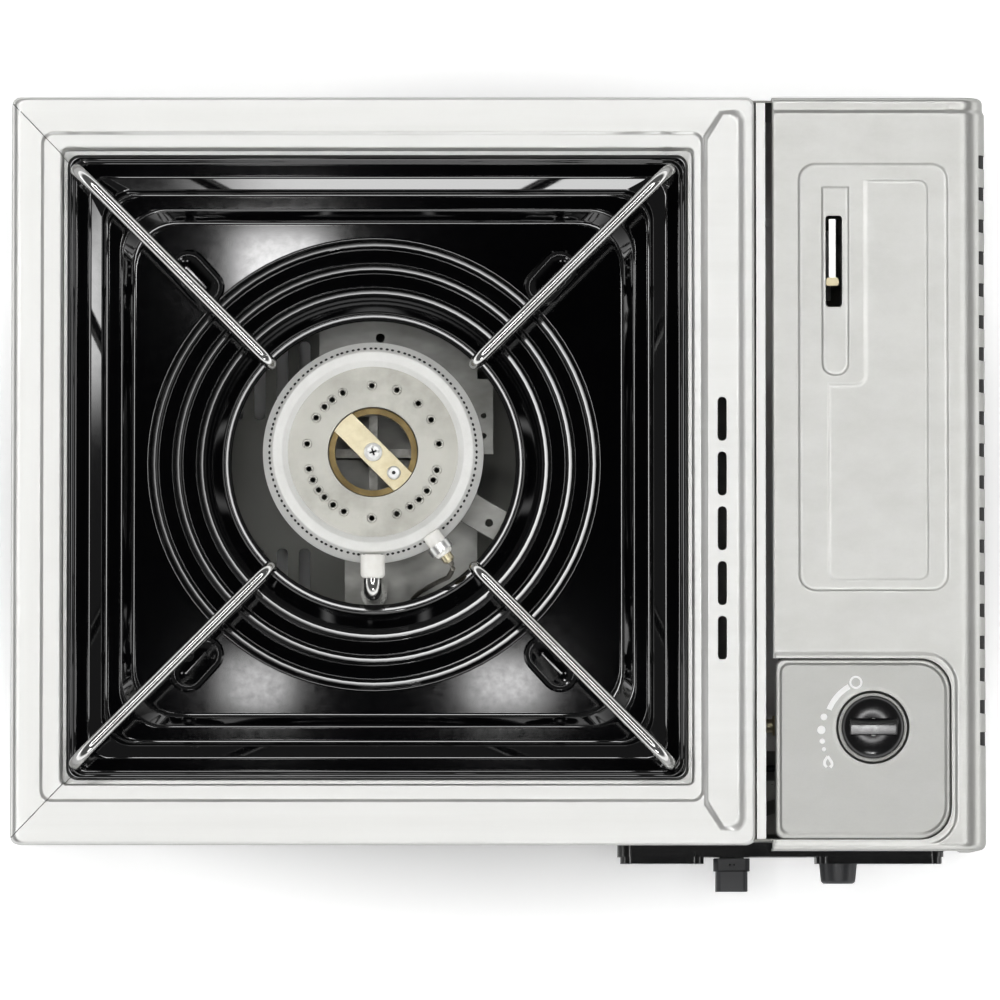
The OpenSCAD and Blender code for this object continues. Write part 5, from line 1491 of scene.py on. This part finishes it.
@dataclass
class ControlPanel:
    """Fixed panel round the knob, with a soft border and a round well."""

    edge: Oblong = Oblong(96.4, 157.4, -120.5, -57.9, 11.0, 3.0)
    top: float = 80.0
    low: float = 72.0
    knob: Spot = (130.2, -81.7)
    sheet: float = 0.7

    def build(self) -> None:
        """Make the panel in one skin from its rim to the middle of its well."""
        rim = (
            (0.0, self.low), (0.0, 78.7), (0.1, 79.05), (0.35, 79.3), (0.7, 79.42), (1.2, 79.45),
        )
        loops = [self.edge.inset(d).loop(z) for d, z in rim]
        for d, z in eased(rim[-1], (2.4, self.top)) + [(3.2, self.top)]:
            loops.append(self.edge.inset(d, 10.6 - d * 0.6).loop(z))
        well = (
            (14.4, 0.0), (13.7, 0.05), (13.2, 0.18), (12.8, 0.15), (12.5, -0.1), (12.35, -0.5),
            (12.2, -1.1), (11.9, -1.36), (11.4, -1.4), (4.3, -1.4),
        )
        count = len(loops[0])
        loops += [ring_loop(r, self.top + z, count, self.knob) for r, z in well]
        plate = faced_up(skin(loops))
        publish(
            "panel_plate", plate, PANEL_STEEL, Body.STOVE, ["control_panel"], sheet=self.sheet
        )


@dataclass
class Knob:
    """Gas knob: a round dish with a grip across it, and the printed scale beside it."""

    axis: Spot = (130.2, -81.7)
    low: float = 79.0
    radius: float = 10.95
    dome_low: float = 3.0
    dome_h: float = 3.6
    grip_l: float = 16.6
    grip_low: float = 3.4
    plane: float = 80.0
    ink: Spot = (-0.02, 0.05)

    def here(self, shape: Shape, z: float = 0.0) -> Shape:
        """Move a shape to the knob's axis, and return it."""
        return moved(shape, at(*self.axis, z))

    def dish(self) -> Shape:
        """Return the knob's round body."""
        edge = 0.4
        profile = [(0.0, self.low), (self.radius - edge, self.low), (self.radius, self.low + edge)]
        for i in range(13):
            a = math.radians(7.5 * i)
            z = self.low + self.dome_low + self.dome_h * math.sin(a)
            profile.append((self.radius * math.cos(a), z))
        return self.here(lathe(profile))

    def grip(self) -> Shape:
        """Return the grip across the knob."""
        half = self.grip_l / 2
        root = self.grip_low
        section = (
            (-3.2, root), (-2.75, 8.0), (-2.5, 8.3), (0.45, 9.77), (0.8, 9.9), (1.15, 9.85),
            (1.4, 9.6), (2.9, 7.2), (3.4, root),
        )
        shares = ((0.0, 0.9), (0.12, 0.95), (0.5, 1.0))
        stations = [(-half + d, share) for d, share in shares]
        stations += [(half - d, share) for d, share in reversed(shares)]
        loops = [
            [Vector((x, y * share, self.low + root + (z - root) * share)) * MM for y, z in section]
            for x, share in stations
        ]
        return self.here(skin(loops, True, True))

    def printed(self, outline: Sequence[Spot]) -> Shape:
        """Return a thin printed area, given in millimetres from the knob's axis."""
        return self.here(prism(outline, self.plane + self.ink[0], self.plane + self.ink[1]))

    def sector(self, radius: float, width: float, start: float, stop: float) -> Shape:
        """Return a printed arc about the knob's axis.

        Args:
            radius: Middle radius in millimetres.
            width: Width of the line.
            start: Angle where it starts, in degrees.
            stop: Angle where it ends.

        Returns:
            The thin raised arc.
        """
        turns = [start + (stop - start) * i / 14 for i in range(15)]
        inner = [polar(radius - width / 2, turn) for turn in turns]
        outer = [polar(radius + width / 2, turn) for turn in turns]
        return self.printed(outer + inner[::-1])

    def dot(self, x: float, y: float, rx: float, ry: float) -> Shape:
        """Return a printed dot, given in millimetres from the knob's axis."""
        turns = [math.tau * i / 20 for i in range(20)]
        return self.printed([(x + rx * math.cos(a), y + ry * math.sin(a)) for a in turns])

    def ring(self, x: float, y: float, outer: float, inner: float) -> Shape:
        """Return a printed ring, given in millimetres from the knob's axis."""
        low, high = (self.plane + z for z in self.ink)
        shape = lathe([(inner, low), (outer, low), (outer, high), (inner, high), (inner, low)], 28)
        return self.here(moved(shape, at(x, y, 0.0)))

    def flame(self, x: float, y: float) -> Shape:
        """Return the printed flame outline at the low end of the scale."""
        tip = (-0.2, 2.0)
        left = (tip, (-1.3, 0.2), (-1.3, -0.9), (-0.5, -1.9))
        right = (tip, (1.2, -0.2), (1.3, -1.2), (0.6, -1.9))
        strokes = []
        for side in (left, right):
            line = [Vector((px, py, 0)) for px, py in placed(side, x, y)]
            shape = wire(bent(line, [0, 0.8, 0.5, 0], 4), 0.5, 8, False)
            for vert in shape.verts:
                vert.co.z *= 0.12
            strokes.append(self.here(shape, self.plane))
        return joined(strokes)

    def build(self) -> None:
        """Make the knob and its scale."""
        body = joined([self.dish(), self.grip()])
        publish("knob_body", body, GLOSS_ABS, Body.KNOB, ["gas_knob"], crease=40)
        marks = [
            self.ring(-5.85, 15.65, 2.3, 1.55),
            self.sector(16.4, 1.9, 120.0, 158.0),
            self.dot(-17.0, 3.6, 1.2, 1.2),
            self.dot(-17.9, -0.9, 1.45, 1.5),
            self.dot(-17.6, -4.8, 0.95, 0.95),
            self.dot(-17.0, -7.6, 0.75, 0.75),
            self.flame(-15.5, -12.0),
        ]
        publish("dial_marks", joined(marks), WHITE_INK, Body.STOVE)


@dataclass
class Trim:
    """Front controls, plates and small parts, drawn from their solids with rounded edges."""

    rib_x: Spot = (81.65, 83.15)
    rib_y: float = -129.0
    rib_z: Spot = (20.0, 33.2)
    rib_r: float = 0.35

    def ribs(self) -> Shape:
        """Return the two moulded ribs on the lever's root."""
        low, high = self.rib_z
        return joined(
            wire([Vector((x, self.rib_y, low)), Vector((x, self.rib_y, high))], self.rib_r, 10)
            for x in self.rib_x
        )

    def build(self) -> None:
        """Publish the rounded copies of the solids that show."""
        rows: list[tuple[str, str, float, Body, float]] = [
            ("bezel_front", "front_bezel", 0.9, Body.STOVE, 30.0),
            ("lever_lock", "lock_lever", 0.9, Body.LEVER, 30.0),
            ("button_igniter", "igniter_button", 0.35, Body.BUTTON, 30.0),
            ("bridge_plate", "burner_bridge", 0.25, Body.STOVE, 30.0),
            ("strap_brass", "burner_strap", 0.15, Body.STOVE, 30.0),
            ("screw_strap", "strap_screw", 0.15, Body.STOVE, 30.0),
            ("rivet_strap", "strap_rivet", 0.12, Body.STOVE, 20.0),
            ("ceramic_igniter", "igniter_ceramic", 0.5, Body.STOVE, 20.0),
            ("ceramic_sensor", "sensor_ceramic", 0.4, Body.STOVE, 20.0),
            ("plate_heat", "heat_plate", 0.2, Body.STOVE, 30.0),
            ("tray_base", "base_tray", 0.25, Body.STOVE, 30.0),
            ("wall_partition", "partition", 0.25, Body.STOVE, 30.0),
        ]
        for name, node, width, body, limit in rows:
            publish(name, softened(node, width, 2, limit), NODE_FINISHES[node], body, [node])
        publish("lever_ribs", self.ribs(), GLOSS_ABS, Body.LEVER)


@dataclass(frozen=True)
class Lamp:
    """A soft rectangular lamp.

    Attributes:
        name: Name of the lamp.
        place: Where it hangs, in millimetres.
        size: Its width and height, in millimetres.
        level: Brightness of its face, where white paper in the scene is 1.
        plateau: Evenly bright share of its size on each side of the middle, below 0.5.
    """

    name: str
    place: Point3
    size: Spot
    level: float
    plateau: float = 0.2

    def build(self, target: Vector) -> None:
        """Add the lamp, turned to a target in millimetres unless it hangs nearly above it."""
        light = bpy.data.lights.new(self.name, "AREA")
        light.shape = "RECTANGLE"
        light.size, light.size_y = (s * MM for s in self.size)
        light.energy = LAMP_POWER * self.level * light.size * light.size_y
        light.use_nodes = True
        self.fade(light.node_tree)
        holder = add_object(self.name, light)
        holder.location = Vector(self.place) * MM
        way = target - Vector(self.place)
        if math.hypot(way.x, way.y) > 0.5 * abs(way.z):
            holder.rotation_euler = way.to_track_quat("-Z", "Y").to_euler()

    def fade(self, tree: Tree) -> None:
        """Fade the lamp's face from its plateau to its edges."""
        spot = add_node(tree, "ShaderNodeNewGeometry").outputs["Parametric"]
        centred = add_node(
            tree, "ShaderNodeVectorMath", {"operation": "SUBTRACT", 1: (0.5, 0.5, 0.0)}, {0: spot}
        )
        parts = add_node(tree, "ShaderNodeSeparateXYZ", {}, {0: centred.outputs["Vector"]}).outputs
        fades = [
            remap(tree, maths(tree, "ABSOLUTE", parts[k]), (0.5, self.plateau), (0.0, 1.0), "SMOOTHSTEP")
            for k in ("X", "Y")
        ]
        soft = maths(tree, "MULTIPLY", *fades)
        tree.links.new(soft, tree.nodes["Emission"].inputs["Strength"])


LAMPS = (
    Lamp("front_softbox", (6.0, -1340.0, 1088.0), (400.0, 220.0), 8.5, 0.3),
    Lamp("knob_softbox", (197.0, -1340.0, 1088.0), (90.0, 180.0), 30.0, 0.35),
    Lamp("right_softbox", (1256.0, 190.0, 966.0), (150.0, 80.0), 8.0, 0.1),
    Lamp("rear_panel", (-127.0, 240.0, 2060.0), (74.0, 54.0), 15.0),
    Lamp("front_left_panel", (-141.0, -4.0, 2060.0), (56.0, 44.0), 9.0, 0.15),
    Lamp("front_right_panel", (4.0, -4.0, 2060.0), (64.0, 44.0), 10.0, 0.15),
    Lamp("right_low_softbox", (1500.0, -100.0, 250.0), (900.0, 260.0), 1.2),
    Lamp("left_low_softbox", (-1500.0, 0.0, 250.0), (900.0, 260.0), 1.2),
)


@dataclass
class Studio:
    """White floor and backdrop, soft light, and the camera over the stove."""

    distance: float = 3000.0
    elevation: float = 87.0
    aim: Point3 = (0.5, -2.5, 80.0)
    target: Point3 = (-40.0, 10.0, 70.0)
    width: float = 348.4
    sensor: float = 36.0
    side_from: float = 64.0
    side_to: float = 80.0
    dome_level: float = 0.14
    side_level: float = 1.9
    flag_inner: float = 5.5
    flag_outer: float = 9.0
    flag_level: float = 0.05
    band_angle: float = 20.0
    band_w: float = 3.2
    band_low: float = 11.5
    band_high: float = 16.5
    band_turn: float = 0.3
    band_way: Point3 = (-0.6, 0.8, 0.0)
    glow_from: float = 0.13
    glow_to: float = 0.2
    glow_level: float = 0.46

    def camera(self) -> None:
        """Place the camera so that the image spans the width at the deck."""
        eye = bpy.data.cameras.new("camera")
        eye.sensor_width = self.sensor
        eye.lens = self.sensor * self.distance / self.width
        eye.clip_end = 20.0
        holder = add_object("camera", eye)
        tilt = math.radians(self.elevation)
        way = Vector((0, -math.cos(tilt), math.sin(tilt)))
        holder.location = (Vector(self.aim) + way * self.distance) * MM
        holder.rotation_euler = (math.radians(90.0 - self.elevation), 0, 0)
        bpy.context.scene.camera = holder

    def along(self, tree: Tree, way: Socket, axis: Point3) -> Socket:
        """Return the cosine between a direction and an axis."""
        node = add_node(tree, "ShaderNodeVectorMath", {"operation": "DOT_PRODUCT", 1: axis}, {0: way})
        return node.outputs["Value"]

    def ramp(self, tree: Tree, height: Socket, angles: Spot, levels: Spot) -> Socket:
        """Ease a level between two angles from the axis.

        Args:
            tree: Node tree of the world.
            height: Cosine of the angle from the axis.
            angles: Angles where it starts and stops, in degrees.
            levels: Levels at the two angles.

        Returns:
            The level.
        """
        ends = sorted((math.cos(math.radians(angle)), level) for angle, level in zip(angles, levels))
        (x0, y0), (x1, y1) = ends
        return remap(tree, height, (x0, x1), (y0, y1), "SMOOTHSTEP")

    def world(self) -> None:
        """Light the stove from a dome that is dark overhead, and show white to the camera."""
        made = bpy.data.worlds.new("studio")
        bpy.context.scene.world = made
        made.use_nodes = True
        tree = made.node_tree
        tree.nodes.clear()
        way = add_node(tree, "ShaderNodeTexCoord").outputs["Generated"]
        lean = math.radians(90.0 - self.elevation)
        height = self.along(tree, way, (0.0, math.sin(lean), math.cos(lean)))
        sides = (self.side_from, self.side_to)
        dome = self.ramp(tree, height, sides, (self.dome_level, self.side_level))
        flag = self.ramp(tree, height, (self.flag_outer, self.flag_inner), (1.0, self.flag_level))
        middle = self.band_angle
        rise = self.ramp(tree, height, (middle + self.band_w, middle), (0.0, 1.0))
        fall = self.ramp(tree, height, (middle, middle - self.band_w), (1.0, 0.0))
        lean_way = self.along(tree, way, self.band_way)
        turn = (-self.band_turn, self.band_turn)
        side = remap(tree, lean_way, turn, (self.band_low, self.band_high))
        band = maths(tree, "MULTIPLY", maths(tree, "MULTIPLY", rise, fall), side)
        strength = maths(tree, "ADD", maths(tree, "MULTIPLY", dome, flag), band)
        soft = add_node(tree, "ShaderNodeBackground", {"Color": WHITE}, {"Strength": strength})
        white = add_node(tree, "ShaderNodeBackground", {"Color": WHITE, "Strength": 1.0})
        self.seen(tree, soft, white, "ShaderNodeOutputWorld")

    def seen(self, tree: Tree, other: bpy.types.Node, camera: bpy.types.Node, output: str) -> None:
        """End a tree in one shader for the camera's rays and another for all others."""
        path = add_node(tree, "ShaderNodeLightPath")
        mix = add_node(
            tree, "ShaderNodeMixShader", {},
            {0: path.outputs["Is Camera Ray"], 1: other.outputs[0], 2: camera.outputs[0]},
        )
        add_node(tree, output, {}, {"Surface": mix.outputs[0]})

    def paper(self) -> bpy.types.Material:
        """Return the floor's white, which glows to the camera away from the stove."""
        made = bpy.data.materials.new("white_floor")
        made.use_nodes = True
        tree = made.node_tree
        tree.nodes.clear()
        paint = add_node(tree, "ShaderNodeBsdfDiffuse", {"Color": (0.9, 0.9, 0.9, 1)})
        place = add_node(tree, "ShaderNodeTexCoord").outputs["Object"]
        oval = add_node(tree, "ShaderNodeMapping", {"Scale": (1.0, 1.25, 0.0)}, {"Vector": place})
        reach = add_node(
            tree, "ShaderNodeVectorMath", {"operation": "LENGTH"}, {0: oval.outputs["Vector"]}
        )
        ends = (self.glow_from, self.glow_to)
        level = remap(tree, reach.outputs["Value"], ends, (0.0, self.glow_level))
        glow = add_node(tree, "ShaderNodeEmission", {"Color": WHITE}, {"Strength": level})
        both = add_node(tree, "ShaderNodeAddShader", {}, {0: paint.outputs[0], 1: glow.outputs[0]})
        self.seen(tree, paint, both, "ShaderNodeOutputMaterial")
        return made

    def floor(self) -> None:
        """Lay a white floor that keeps the stove's shadow."""
        shape = bmesh.new()
        bmesh.ops.create_grid(shape, x_segments=4, y_segments=4, size=3.0)
        mesh = as_mesh("floor", shape)
        mesh.materials.append(self.paper())
        add_object("floor", mesh)

    def build(self) -> None:
        """Make the studio."""
        self.camera()
        self.world()
        self.floor()
        for lamp in LAMPS:
            lamp.build(Vector(self.target))
        bpy.context.scene.view_settings.view_transform = "Standard"


def dress_nodes() -> None:
    """Give every CAD node its finish."""
    for name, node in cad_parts.items():
        finish = NODE_FINISHES[name]
        if not node.material_slots:
            node.data.materials.append(finish.material())
        for slot in node.material_slots:
            slot.material = finish.material()


def main() -> None:
    """Build the stove's pieces and the studio, in order."""
    logging.basicConfig(level=logging.INFO, format="%(message)s")
    dress_nodes()
    for kind in (Studio, Deck, DripPan, Supports, Burner, Lid, ControlPanel, Knob, Trim):
        log.info("building %s", kind.__name__)
        kind().build()


if __name__ == "__main__":
    main()
